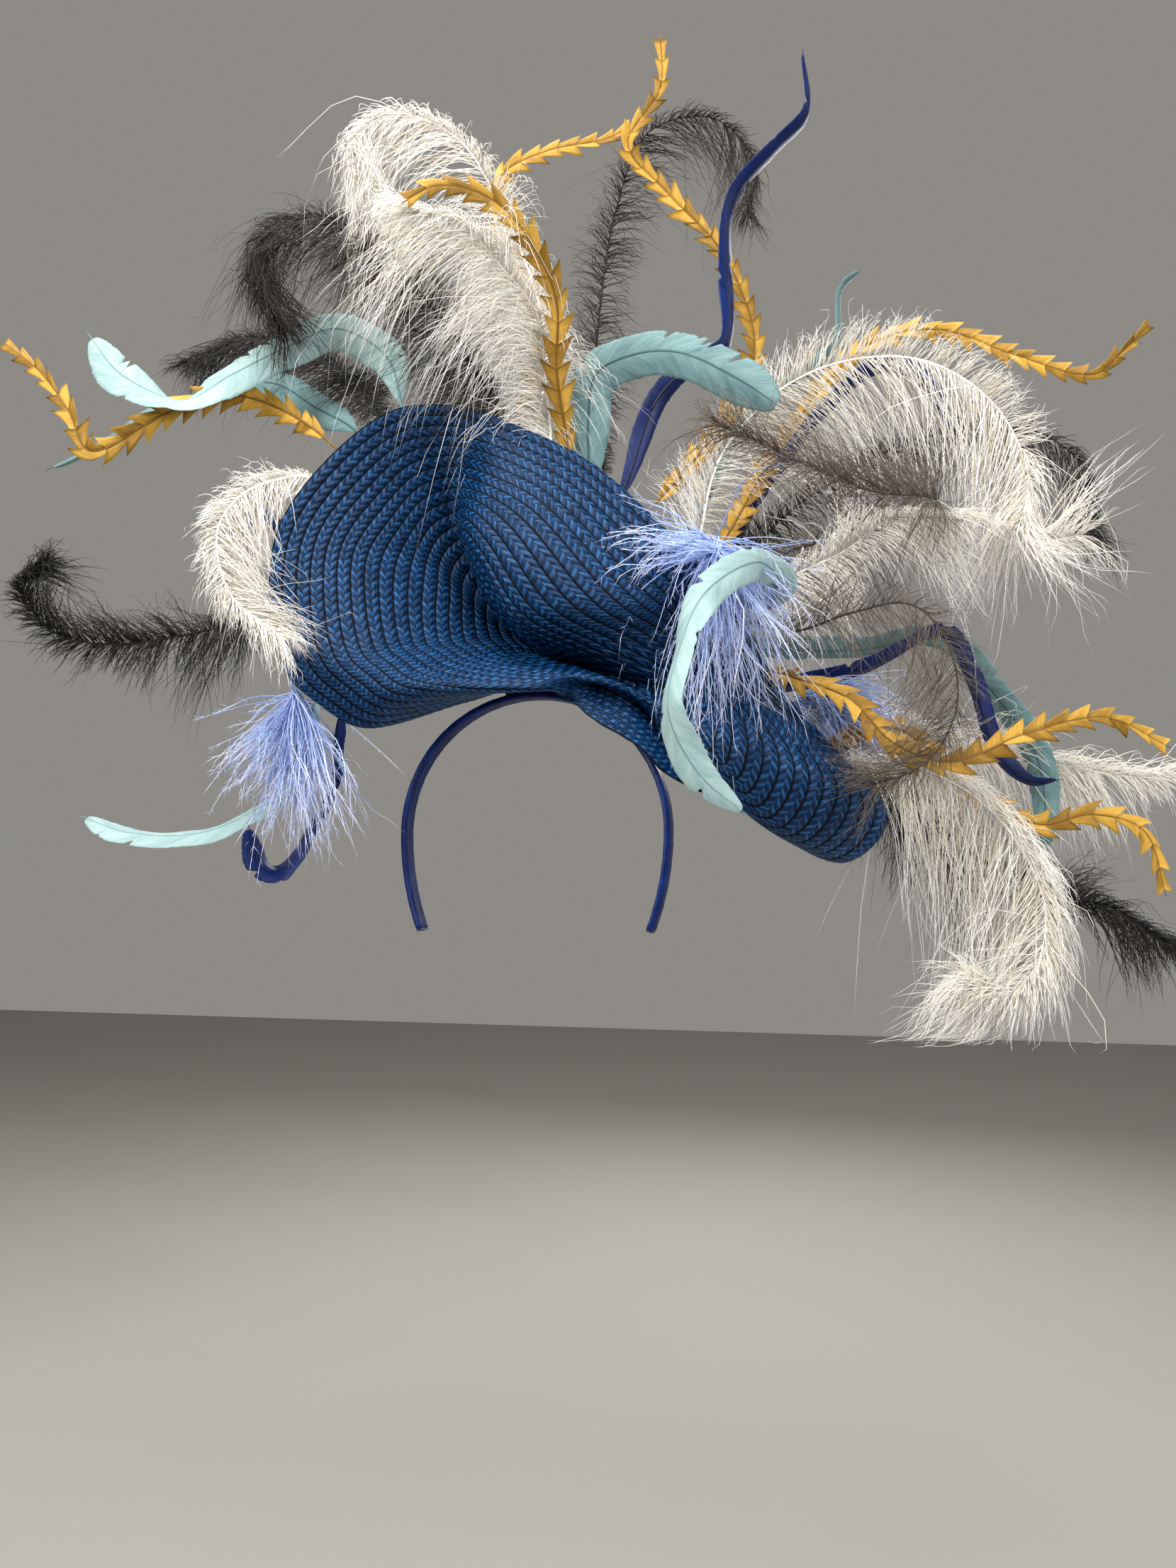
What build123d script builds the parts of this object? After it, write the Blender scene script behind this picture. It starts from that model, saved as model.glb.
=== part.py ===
"""Fascinator headpiece: a folded disc of plaited braid on a headband, trimmed with feathers.

Frame: +Z up, +X to the wearer's left, -Y to the front.  The origin is the centre of the
circle on which the headband grips the head.  Sizes are in millimetres.
"""

import os
from math import atan2, cos, degrees, pi, radians, sin, sqrt

from build123d import *

os.makedirs("parts", exist_ok=True)

# ---------------------------------------------------------------- driving dimensions
HEAD_RADIUS = 74  # inside of the headband, where it grips the head
BAND_CORE = 3  # thickness of the plastic strip
BAND_WIDTH = 10  # width of the plastic strip, front to back
SATIN = 0.6  # thickness of the satin wrapped round the strip
HINGE_ANGLE = 60  # from the top of the head down to where each arm starts to flex
HINGE_GAP = 0.15  # clearance beside the rounded end of each arm
ARM_DROP = 55  # how far each arm goes on below its widest point
ARM_RADIUS = 150  # the gentle inward curve of that last stretch

BRAID_THICKNESS = 2.4
TRIM_YAW = 15  # the trim faces this far to the wearer's left
EDGE_WIRE_RADIUS = 0.9
FELT_THICKNESS = 2
FELT_GAP = 0.4
PAD_THICKNESS = 1.2
THREAD_RADIUS = 0.35

# Half-width and half-thickness of each kind of feather, and of the bare quill at its root.
FEATHER_SECTION = {
    "plume": (16, 1.2),
    "coque": (8.5, 0.6),
    "arrow": (6.5, 0.6),
    "marabou": (20, 4),
}
QUILL = (1.2, 1.0)
QUILL_PRESS = 0.3  # how far a quill sinks into its felt patch


# ---------------------------------------------------------------- shared helpers
def save(node, name):
    node.part.label = name
    export_step(node.part, f"parts/{name}.step")


def turned(x, y, z):
    """A point of the trim, measured from the top of the head, turned to face its way."""
    a = radians(TRIM_YAW)
    return Vector(x * cos(a) - y * sin(a), x * sin(a) + y * cos(a), z + HEAD_RADIUS)


def smooth(knots, values, t):
    """A cubic curve through the values at the knots, its slopes taken from neighbours."""
    i = max(k for k in range(len(knots) - 1) if knots[k] <= t or k == 0)
    span = knots[i + 1] - knots[i]

    def slope(k):
        low, high = max(k - 1, 0), min(k + 1, len(knots) - 1)
        return (values[high] - values[low]) * (1 / (knots[high] - knots[low]))

    s = (t - knots[i]) / span
    start = values[i] * (2 * s**3 - 3 * s**2 + 1) + slope(i) * (span * (s**3 - 2 * s**2 + s))
    end = values[i + 1] * (3 * s**2 - 2 * s**3) + slope(i + 1) * (span * (s**3 - s**2))
    return start + end


def closed_solid(sections, closed_ring=False):
    """A flat-faceted closed solid through a row of sections with the same corner count."""
    faces = []
    count = len(sections[0])

    def triangle(*corners):
        if min((corners[i] - corners[i - 1]).length for i in range(3)) > 1e-4:
            faces.append(Face(Wire.make_polygon(corners, close=True)))

    spans = list(zip(sections, sections[1:]))
    if closed_ring:
        spans.append((sections[-1], sections[0]))
    for near, far in spans:
        for i in range(count):
            j = (i + 1) % count
            triangle(near[i], near[j], far[j])
            triangle(near[i], far[j], far[i])
    if not closed_ring:
        for end in (sections[0], sections[-1]):
            for i in range(1, count - 1):
                triangle(end[0], end[i], end[i + 1])
    return Solid(Shell(faces))


def strip_solid(sections, width):
    """Closes a row of thin sections, each a front edge and then the back edge reversed."""
    faces = []

    def triangle(*corners):
        faces.append(Face(Wire.make_polygon(corners, close=True)))

    count = len(sections[0])
    for near, far in zip(sections, sections[1:]):
        for i in range(count):
            j = (i + 1) % count
            triangle(near[i], near[j], far[j])
            triangle(near[i], far[j], far[i])
    for end in (sections[0], sections[-1]):
        for i in range(width - 1):
            triangle(end[i], end[i + 1], end[count - 2 - i])
            triangle(end[i], end[count - 2 - i], end[count - 1 - i])
    return Solid(Shell(faces))


# ---------------------------------------------------------------- headband
core_inside = HEAD_RADIUS + SATIN
core_outside = core_inside + BAND_CORE
core_middle = core_inside + BAND_CORE / 2
satin_outside = core_outside + SATIN
lower_sweep = degrees(atan2(ARM_DROP, sqrt(ARM_RADIUS**2 - ARM_DROP**2)))


def on_arch(radius, angle):
    """A point of the band's own plane (X across, Z up), at an angle down from the top."""
    return (radius * sin(radians(angle)), radius * cos(radians(angle)))


def arch_strip(inside, outside, start, end):
    """Closed outline of a strip of the arch between two angles from the top."""
    middle = (start + end) / 2
    ThreePointArc(on_arch(inside, start), on_arch(inside, middle), on_arch(inside, end))
    Line(on_arch(inside, end), on_arch(outside, end))
    ThreePointArc(on_arch(outside, end), on_arch(outside, middle), on_arch(outside, start))
    Line(on_arch(outside, start), on_arch(inside, start))


def on_lower_arm(radius, angle):
    """A point of the arm below its widest point, on the gentle inward curve."""
    centre = core_middle - ARM_RADIUS
    reach = ARM_RADIUS + radius - core_middle
    return (centre + reach * cos(radians(angle)), -reach * sin(radians(angle)))


def arm_strip(inside, outside, start, overrun):
    """Closed outline of one arm, from an angle on the arch down to its tip."""
    tip = lower_sweep + overrun
    ThreePointArc(on_arch(inside, start), on_arch(inside, (start + 90) / 2), on_arch(inside, 90))
    ThreePointArc(on_arch(inside, 90), on_lower_arm(inside, tip / 2), on_lower_arm(inside, tip))
    Line(on_lower_arm(inside, tip), on_lower_arm(outside, tip))
    ThreePointArc(on_lower_arm(outside, tip), on_lower_arm(outside, tip / 2), on_arch(outside, 90))
    ThreePointArc(on_arch(outside, 90), on_arch(outside, (start + 90) / 2), on_arch(outside, start))
    Line(on_arch(outside, start), on_arch(inside, start))


def arch_step(length):
    """The angle at the strip's middle that spans a short length."""
    return degrees(length / core_middle)


crown_end = HINGE_ANGLE - arch_step(BAND_CORE / 2 + HINGE_GAP)
cover_gap = arch_step(0.6)  # satin stops short of the hinge line on both sides
hinge_x, hinge_z = on_arch(core_middle, HINGE_ANGLE)
tip_overrun = degrees(SATIN / ARM_RADIUS)

with BuildPart() as headband_crown:
    with BuildSketch(Plane.XZ):
        with BuildLine():
            arch_strip(core_inside, core_outside, -crown_end, crown_end)
        make_face()
    extrude(amount=BAND_WIDTH / 2, both=True)
save(headband_crown, "headband_crown")

with BuildPart() as headband_arm:
    with BuildSketch(Plane.XZ):
        with BuildLine():
            arm_strip(core_inside, core_outside, HINGE_ANGLE, 0)
        make_face()
        with Locations((hinge_x, hinge_z)):
            Circle(BAND_CORE / 2)
    extrude(amount=BAND_WIDTH / 2, both=True)
    tip_edges = headband_arm.edges().filter_by(lambda e: e.center().Z < hinge_z - ARM_DROP)
    fillet(tip_edges.filter_by(Axis.Y, reverse=True).sort_by(Axis.Z)[:2], 0.6)

with BuildPart() as satin_cover_crown:
    with BuildSketch(Plane.XZ):
        with BuildLine():
            end = HINGE_ANGLE - cover_gap
            arch_strip(HEAD_RADIUS, satin_outside, -end, end)
        make_face()
    extrude(amount=BAND_WIDTH / 2 + SATIN, both=True)
    with BuildSketch(Plane.XZ):
        with BuildLine():
            arch_strip(core_inside, core_outside, -end - 1, end + 1)
        make_face()
    extrude(amount=BAND_WIDTH / 2, both=True, mode=Mode.SUBTRACT)
save(satin_cover_crown, "satin_cover_crown")

with BuildPart() as satin_cover_arm:
    with BuildSketch(Plane.XZ):
        with BuildLine():
            arm_strip(HEAD_RADIUS, satin_outside, HINGE_ANGLE + cover_gap, tip_overrun)
        make_face()
    extrude(amount=BAND_WIDTH / 2 + SATIN, both=True)
    with BuildSketch(Plane.XZ):
        with BuildLine():
            arm_strip(core_inside, core_outside, HINGE_ANGLE, 0)
        make_face()
    extrude(amount=BAND_WIDTH / 2, both=True, mode=Mode.SUBTRACT)

with BuildPart() as headband_arm_left:
    add(headband_arm.part)
save(headband_arm_left, "headband_arm_left")

with BuildPart() as headband_arm_right:
    add(mirror(headband_arm.part, about=Plane.YZ, mode=Mode.PRIVATE))
save(headband_arm_right, "headband_arm_right")

with BuildPart() as satin_cover_left:
    add(satin_cover_arm.part)
save(satin_cover_left, "satin_cover_left")

with BuildPart() as satin_cover_right:
    add(mirror(satin_cover_arm.part, about=Plane.YZ, mode=Mode.PRIVATE))
save(satin_cover_right, "satin_cover_right")

# Felt saddle on the crown of the band, which the braid is sewn down to.
PAD_ANGLES = (-12, 20)
PAD_FRONT, PAD_BACK = 5, 20
pad_inside = satin_outside + FELT_GAP
pad_outside = pad_inside + PAD_THICKNESS

with BuildPart() as crown_pad:
    with BuildSketch(Plane.XZ.offset(PAD_FRONT)):
        with BuildLine():
            arch_strip(pad_inside, pad_outside, *PAD_ANGLES)
        make_face()
    extrude(amount=-(PAD_FRONT + PAD_BACK))
    fillet(crown_pad.edges().filter_by(lambda e: abs(e.length - PAD_THICKNESS) < 0.01), 3)
save(crown_pad, "crown_pad")

# Thread bars of the tacking that holds the saddle to the satin, along its back half.
TACK_ANGLES = (-9, -3, 3, 9, 15)
TACK_LENGTH = 8
TACK_BACK = 13

with BuildPart() as tacking_stitches:
    for angle in TACK_ANGLES:
        x, z = on_arch(pad_outside + THREAD_RADIUS, angle)
        with BuildSketch(Plane.XZ.offset(-TACK_BACK)):
            with Locations((x, z)):
                Circle(THREAD_RADIUS)
        extrude(amount=TACK_LENGTH / 2, both=True)
save(tacking_stitches, "tacking_stitches")

# ---------------------------------------------------------------- the folded braid disc
# Each spoke of the flat disc, by its angle, gives where that spoke lies once the disc is
# folded: at 0.2, 0.45, 0.7 and 1.0 of the disc's radius.  All spokes start at the centre,
# which the twist pulls back between the folds.
SPOKE_RADII = (0, 0.2, 0.45, 0.7, 1)
DISC_CENTRE = (17, 30, 26)
SPOKES = {
    108: ((-21, 25, 53), (-45, 25, 101), (-49, 22, 140), (-52, 8, 175)),
    118: ((-19, 26, 49), (-53, 22, 93), (-69, 12, 131), (-81, 0, 169)),
    132: ((-19, 26, 47), (-57, 18, 82), (-86, 2, 107), (-112, -12, 140)),
    147: ((-19, 24, 44), (-57, 12, 68), (-98, -6, 82), (-139, -20, 98)),
    161: ((-17, 22, 40), (-57, 6, 49), (-97, -14, 53), (-144, -26, 57)),
    175: ((-15, 20, 37), (-54, 0, 33), (-90, -22, 25), (-136, -28, 15)),
    190: ((-11, 16, 33), (-46, -8, 26), (-77, -32, 12), (-115, -18, -7)),
    203: ((-8, 14, 29), (-36, -16, 19), (-63, -42, 2), (-91, -8, -17)),
    222: ((3, 8, 24), (-18, -24, 13), (-33, -46, -2), (-38, 1, 0)),
    239: ((13, 4, 20), (6, -28, 9), (3, -42, -1), (3, -9, 8)),
    255: ((24, 4, 18), (28, -26, 8), (34, -9, 7), (36, -32, -18)),
    263: ((28, 6, 17), (40, -24, 6), (50, -10, 0), (56, -32, -30)),
    272: ((31, 8, 15), (52, -20, 2), (66, -3, -11), (74, -26, -46)),
    290: ((42, 12, 13), (74, -18, -10), (96, -24, -46), (120, 10, -63)),
    312: ((47, 14, 13), (93, -28, -31), (128, -26, -70), (172, 5, -91)),
    328: ((53, 8, 11), (97, -32, -23), (141, -40, -47), (193, -15, -67)),
    343: ((51, 14, 14), (97, -14, -5), (131, -25, -18), (174, 5, -33)),
    358: ((42, 18, 19), (76, -2, 8), (110, -2, 10), (146, 38, 11)),
    375: ((23, 18, 25), (30, -12, 28), (75, -16, 35), (122, 25, 51)),
    405: ((4, 6, 31), (-5, -28, 42), (45, -34, 52), (99, 5, 74)),
    435: ((-15, 8, 46), (-27, -26, 76), (4, -30, 99), (35, 5, 137)),
    455: ((-21, 15, 51), (-39, -8, 95), (-26, -16, 121), (-20, 2, 164)),
}
spoke_angles = list(SPOKES)
# The ring closes on itself: two spokes are repeated beyond each end.
ring_angles = (
    [a - 360 for a in spoke_angles[-2:]] + spoke_angles + [a + 360 for a in spoke_angles[:2]]
)


def braid(radius, angle):
    """The folded disc's middle surface, at a share of its radius and an angle."""
    spokes = []
    for a in ring_angles:
        flat = SPOKES[a if a in SPOKES else a - 360 if a - 360 in SPOKES else a + 360]
        points = [Vector(*DISC_CENTRE)] + [Vector(*p) for p in flat]
        spokes.append(smooth(SPOKE_RADII, points, min(radius, 1)))
    around = (angle - spoke_angles[0]) % 360 + spoke_angles[0]
    return smooth(ring_angles, spokes, around)


def braid_normal(radius, angle):
    """The side of the braid that faces back, away from the front of the headpiece."""
    r = min(max(radius, 0.06), 0.98)
    out = braid(r + 0.02, angle) - braid(r - 0.02, angle)
    along = braid(r, angle + 1) - braid(r, angle - 1)
    return along.cross(out).normalized()


def behind(radius, angle, depth):
    """A point a little way behind the braid's middle surface, turned with the trim."""
    point = braid(radius, angle) + braid_normal(radius, angle) * depth
    return turned(*point)


DISC_RINGS = (0.1, 0.2, 0.33, 0.45, 0.58, 0.7, 0.81, 0.92, 0.985)
DISC_STEP = 10  # degrees between the facets of the folded disc


def disc_solid():
    """The folded disc: rings of facets on both sides, a fan at its centre, and a rim."""
    faces = []
    angles = range(0, 360, DISC_STEP)
    half = BRAID_THICKNESS / 2
    sides = {
        depth: [[behind(r, a, depth) for a in angles] for r in DISC_RINGS]
        for depth in (-half, half)
    }

    def triangle(*corners):
        faces.append(Face(Wire.make_polygon(corners, close=True)))

    count = len(angles)
    for depth, rings in sides.items():
        centre = turned(*(Vector(*DISC_CENTRE) + Vector(0, depth, 0)))
        for i in range(count):
            j = (i + 1) % count
            triangle(centre, rings[0][i], rings[0][j])
            for inner, outer in zip(rings, rings[1:]):
                triangle(inner[i], outer[i], outer[j])
                triangle(inner[i], outer[j], inner[j])
    front, back = sides[-half][-1], sides[half][-1]
    for i in range(count):
        j = (i + 1) % count
        triangle(front[i], front[j], back[j])
        triangle(front[i], back[j], back[i])
    return Solid(Shell(faces))


with BuildPart() as braid_disc:
    add(disc_solid())
save(braid_disc, "braid_disc")

# Millinery wire that runs just inside the fold of the outermost plait.
WIRE_SIDES = 5
WIRE_STEP = 10
WIRE_OUT = 1.5  # from the rim of the disc's solid to the middle of the wire

with BuildPart() as edge_wire:
    rings = []
    for angle in range(0, 360, WIRE_STEP):
        rim = turned(*braid(0.985, angle))
        out = (rim - turned(*braid(0.96, angle))).normalized()
        normal = behind(0.985, angle, 1) - rim
        corners = [2 * pi * k / WIRE_SIDES for k in range(WIRE_SIDES)]
        middle = rim + out * WIRE_OUT
        rings.append(
            [middle + (out * cos(c) + normal * sin(c)) * EDGE_WIRE_RADIUS for c in corners]
        )
    add(closed_solid(rings, closed_ring=True))
save(edge_wire, "edge_wire")

# ---------------------------------------------------------------- felt patches
# Each patch backs a stretch of the rim, facet by facet: its first and last angle.
FELT_PATCHES = {
    "felt_patch_top": (60, 100),
    "felt_patch_left": (110, 150),
    "felt_patch_low_left": (160, 200),
    "felt_patch_right": (10, 60),
    "felt_patch_tail": (-30, 10),
}
FELT_RINGS = (0.7, 0.81, 0.92)
felt_near = BRAID_THICKNESS / 2 + FELT_GAP
felt_far = felt_near + FELT_THICKNESS


def felt_solid(first, last):
    """A strip of felt that follows the back of the disc between two angles."""
    sections = []
    for angle in range(first, last + 1, DISC_STEP):
        near = [behind(r, angle, felt_near) for r in FELT_RINGS]
        far = [behind(r, angle, felt_far) for r in FELT_RINGS]
        sections.append(near + far[::-1])
    return strip_solid(sections, len(FELT_RINGS))


for name, angles in FELT_PATCHES.items():
    with BuildPart() as patch:
        add(felt_solid(*angles))
    save(patch, name)

# ---------------------------------------------------------------- feathers
# Each feather: its kind, the angle at which its quill crosses the rim, the share of the
# radius at which it starts on its felt patch, and its route, in the trim's frame.
FEATHERS = {
    "plume_grey_behind": ("plume", 99, 0.78, [
        (-55, 45, 210), (-85, 60, 255), (-130, 70, 305)
    ]),
    "plume_brown_hook": ("plume", 95, 0.8, [
        (-38, 5, 200), (-64, -8, 232), (-91, -8, 262), (-130, 0, 286), (-161, 5, 277),
        (-164, 5, 249), (-146, 0, 217)
    ]),
    "arrow_gold_back": ("arrow", 91.5, 0.78, [
        (0, 40, 220), (-10, 55, 277), (-25, 60, 318), (-25, 60, 350), (5, 60, 367),
        (40, 60, 374), (60, 60, 385)
    ]),
    "plume_white_tall": ("plume", 88, 0.82, [
        (5, 30, 220), (-5, 30, 265), (-20, 20, 298), (-45, 5, 335), (-80, -5, 346),
        (-106, -10, 325), (-97, -5, 280)
    ]),
    "plume_white_near": ("plume", 84.5, 0.8, [
        (5, 10, 190), (0, -5, 225), (-20, -20, 245), (-40, -35, 260), (-70, -40, 265)
    ]),
    "arrow_gold_near": ("arrow", 81, 0.84, [
        (12, -5, 190), (12, -20, 225), (-5, -35, 255), (-25, -45, 270), (-50, -52, 272),
        (-70, -55, 260)
    ]),
    "coque_aqua_top": ("coque", 76.5, 0.86, [
        (30, 10, 165), (35, 10, 195), (60, 5, 205), (85, -5, 200), (115, -15, 180),
        (140, -20, 160)
    ]),
    "plume_grey_hook": ("plume", 72.5, 0.8, [
        (35, 60, 220), (40, 75, 287), (50, 80, 345), (70, 80, 393), (110, 75, 400),
        (137, 65, 365), (132, 60, 323)
    ]),
    "coque_navy_top": ("coque", 68.5, 0.82, [
        (70, 30, 185), (90, 35, 210), (115, 35, 226), (116, 40, 274), (121, 40, 323),
        (146, 35, 351), (166, 30, 373), (162, 25, 410)
    ]),
    "arrow_gold_tall": ("arrow", 63, 0.8, [
        (125, 55, 200), (135, 60, 242), (115, 55, 295), (80, 50, 332), (55, 42, 359),
        (75, 35, 391), (75, 30, 423)
    ]),
    "coque_aqua_upper": ("coque", 116, 0.86, [
        (-90, 20, 210), (-120, 25, 230), (-145, 15, 215), (-175, 0, 190), (-200, -10, 170),
        (-235, -10, 185), (-260, 0, 215)
    ]),
    "plume_dark_low": ("plume", 121, 0.82, [
        (-120, 50, 215), (-160, 65, 240), (-195, 70, 245), (-225, 70, 230)
    ]),
    "coque_aqua_lower": ("coque", 126, 0.86, [
        (-135, 35, 185), (-165, 45, 205), (-200, 45, 200), (-235, 35, 185), (-260, 25, 160),
        (-290, 20, 140)
    ]),
    "arrow_gold_left": ("arrow", 131, 0.8, [
        (-150, 15, 175), (-180, 5, 180), (-210, -5, 165), (-250, -10, 140), (-265, -10, 165),
        (-285, -5, 190), (-310, 0, 210)
    ]),
    "plume_white_left": ("plume", 138, 0.84, [
        (-140, -10, 125), (-160, -25, 110), (-170, -35, 85), (-160, -40, 50), (-130, -45, 25)
    ]),
    "coque_navy_left": ("coque", 147, 0.82, [
        (-160, 20, 115), (-170, 30, 115), (-185, 40, 105)
    ]),
    "plume_dark_left": ("plume", 167, 0.84, [
        (-175, 10, 45), (-205, 15, 40), (-245, 15, 35), (-275, 5, 40), (-290, -5, 65),
        (-270, -15, 75)
    ]),
    "marabou_left": ("marabou", 180, 0.86, [
        (-130, -5, -5), (-130, -10, -35), (-125, -15, -70)
    ]),
    "coque_aqua_tail": ("coque", 188, 0.82, [
        (-135, 12, -40), (-155, 8, -60), (-185, 0, -75), (-225, 0, -75), (-255, 5, -65)
    ]),
    "coque_navy_loop": ("coque", 195, 0.8, [
        (-115, 10, -45), (-125, 5, -70), (-140, 0, -95), (-150, -10, -90), (-155, -15, -70)
    ]),
    "coque_aqua_tip": ("coque", 54, 0.8, [
        (140, 90, 205), (195, 100, 255), (200, 100, 295), (215, 100, 310)
    ]),
    "plume_white_right": ("plume", 50, 0.82, [
        (110, 40, 155), (145, 35, 195), (185, 25, 210), (230, 15, 205), (265, 5, 175),
        (280, -5, 130), (275, -10, 90), (305, -15, 90)
    ]),
    "arrow_gold_right": ("arrow", 46.5, 0.8, [
        (155, 70, 180), (205, 75, 240), (250, 65, 250), (300, 60, 230), (345, 55, 215),
        (365, 50, 230), (380, 45, 245)
    ]),
    "coque_navy_right": ("coque", 43, 0.78, [
        (135, 60, 135), (185, 60, 200), (220, 55, 222), (245, 50, 200), (255, 50, 170)
    ]),
    "plume_dark_right": ("plume", 39.5, 0.76, [
        (165, 80, 140), (240, 90, 185), (305, 85, 195), (345, 75, 165), (350, 70, 110)
    ]),
    "marabou_right": ("marabou", 35.5, 0.86, [
        (100, -8, 88), (104, -30, 60), (110, -38, 20), (110, -40, -12)
    ]),
    "plume_grey_over": ("plume", 31, 0.8, [
        (155, 45, 100), (215, 20, 105), (225, -15, 110), (180, -45, 105), (135, -65, 115),
        (95, -75, 130)
    ]),
    "coque_aqua_front": ("coque", 27, 0.84, [
        (135, -20, 60), (120, -42, 67), (90, -62, 45), (75, -72, 10), (70, -78, -20),
        (85, -75, -50), (110, -68, -70)
    ]),
    "plume_white_mid": ("plume", 22, 0.8, [
        (150, 36, 80), (180, 24, 92), (205, 0, 105), (240, -10, 100)
    ]),
    "plume_grey_right": ("plume", 17, 0.84, [
        (145, 5, 40), (175, -20, 45), (200, -40, 45), (215, -52, 25), (220, -55, -10),
        (205, -55, -40), (175, -55, -55)
    ]),
    "coque_aqua_right": ("coque", 8, 0.8, [
        (195, 55, 40), (245, 50, 45), (275, 45, 10), (295, 35, -30), (295, 25, -85)
    ]),
    "arrow_gold_long": ("arrow", 4, 0.84, [
        (145, -12, 10), (170, -32, -5), (190, -42, -30), (220, -42, -40), (260, -38, -25),
        (305, -32, -15), (345, -22, -30)
    ]),
    "coque_navy_low": ("coque", 0, 0.78, [
        (195, 35, 25), (240, 30, 45), (255, 25, 15), (265, 20, -25), (280, 10, -45),
        (295, 0, -45)
    ]),
    "marabou_low": ("marabou", -4, 0.86, [
        (175, 20, 15), (200, 15, 15), (230, 10, 5)
    ]),
    "plume_white_far": ("plume", -8, 0.8, [
        (200, 40, 0), (250, 45, -25), (300, 45, -30), (355, 40, -40), (380, 35, -40)
    ]),
    "arrow_gold_small": ("arrow", -12, 0.84, [
        (205, 10, -15), (245, 5, -50), (280, 0, -70), (310, -5, -65), (335, -10, -75),
        (345, -10, -110)
    ]),
    "plume_grey_low": ("plume", -15.5, 0.78, [
        (200, 60, -25), (230, 70, -55), (260, 70, -95), (275, 70, -135)
    ]),
    "plume_white_low": ("plume", -19, 0.84, [
        (195, -5, -35), (230, -20, -50), (255, -25, -75), (270, -30, -110), (267, -30, -142),
        (250, -30, -160), (230, -26, -154)
    ]),
    "plume_dark_low_right": ("plume", -23, 0.82, [
        (210, 20, -50), (240, 25, -80), (285, 25, -110), (325, 20, -115), (360, 15, -140)
    ]),
}
RIM_CLEARANCE = 6  # how far behind the rim's middle surface a quill passes
STATIONS = 14
BARE_QUILL = 0.17  # the share of each feather that is bare quill at its root


def feather_route(angle, start, points):
    """Along the felt behind the braid, over the rim, and then through its own points."""
    lie = felt_far + QUILL[1] - QUILL_PRESS
    rim = behind(1, angle, RIM_CLEARANCE)
    return [behind(start, angle, lie), rim] + [turned(*p) for p in points]


def feather_width(kind, share):
    """Half-width and half-thickness a share of the way from the root to the tip."""
    wide, thick = FEATHER_SECTION[kind]
    grown = min(1, max(0, (share - BARE_QUILL) / 0.2))
    narrowed = 1 - 0.75 * max(0, (share - 0.7) / 0.3) ** 2
    return QUILL[0] + (wide - QUILL[0]) * grown * narrowed, QUILL[1] + (thick - QUILL[1]) * grown


def feather_solid(kind, angle, start, points):
    """A thin blade with a diamond section that follows the feather's route untwisted."""
    spine = Edge.make_spline(feather_route(angle, start, points))
    front = turned(0, -1, 0) - turned(0, 0, 0)
    side = spine.tangent_at(0).cross(front).normalized()
    sections = []
    for k in range(STATIONS):
        share = k / (STATIONS - 1)
        middle, ahead = spine.position_at(share), spine.tangent_at(share)
        side = (side - ahead * side.dot(ahead)).normalized()
        face = ahead.cross(side)
        wide, thick = feather_width(kind, share)
        sections.append(
            [middle - side * wide, middle - face * thick, middle + side * wide, middle + face * thick]
        )
    return closed_solid(sections)


for name, (kind, angle, start, points) in FEATHERS.items():
    with BuildPart() as feather:
        add(feather_solid(kind, angle, start, points))
    save(feather, name)
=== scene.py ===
"""The looks of the fascinator headpiece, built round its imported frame.

A folded disc of plaited braid sits on a satin headband and carries ostrich plumes, coque and
arrow-cut feathers and tufts of marabou.  Everything is in metres in the row frame: +Z up, +X
to the wearer's left, -Y to the front.  Routes of the trim are kept as they are in the CAD
source: in millimetres, measured from the top of the head, before the trim is turned.
"""

import math

import bpy
import numpy as np
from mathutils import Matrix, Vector


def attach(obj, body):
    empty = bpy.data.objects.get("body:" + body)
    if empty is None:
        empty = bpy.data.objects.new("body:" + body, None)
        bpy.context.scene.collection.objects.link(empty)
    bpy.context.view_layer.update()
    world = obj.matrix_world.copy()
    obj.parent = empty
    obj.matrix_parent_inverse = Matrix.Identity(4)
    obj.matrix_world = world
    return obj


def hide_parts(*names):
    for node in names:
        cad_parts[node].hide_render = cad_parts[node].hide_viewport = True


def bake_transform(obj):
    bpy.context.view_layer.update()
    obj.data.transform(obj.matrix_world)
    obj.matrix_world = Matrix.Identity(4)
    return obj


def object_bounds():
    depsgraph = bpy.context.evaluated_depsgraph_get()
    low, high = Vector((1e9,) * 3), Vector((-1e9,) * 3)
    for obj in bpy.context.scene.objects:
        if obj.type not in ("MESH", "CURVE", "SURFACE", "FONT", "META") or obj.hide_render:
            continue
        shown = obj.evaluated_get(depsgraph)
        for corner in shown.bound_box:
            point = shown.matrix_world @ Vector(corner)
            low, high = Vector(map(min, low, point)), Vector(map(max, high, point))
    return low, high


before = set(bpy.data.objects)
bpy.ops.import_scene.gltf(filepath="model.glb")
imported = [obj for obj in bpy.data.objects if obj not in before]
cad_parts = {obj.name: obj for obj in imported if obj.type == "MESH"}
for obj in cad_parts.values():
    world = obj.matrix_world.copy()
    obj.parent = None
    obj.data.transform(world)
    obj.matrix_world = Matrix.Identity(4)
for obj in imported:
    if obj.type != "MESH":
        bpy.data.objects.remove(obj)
cad_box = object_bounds()

MM = 0.001
HEAD_RADIUS = 74  # mm, inside of the headband
TRIM_YAW = math.radians(15)  # the trim faces this far to the wearer's left

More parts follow.
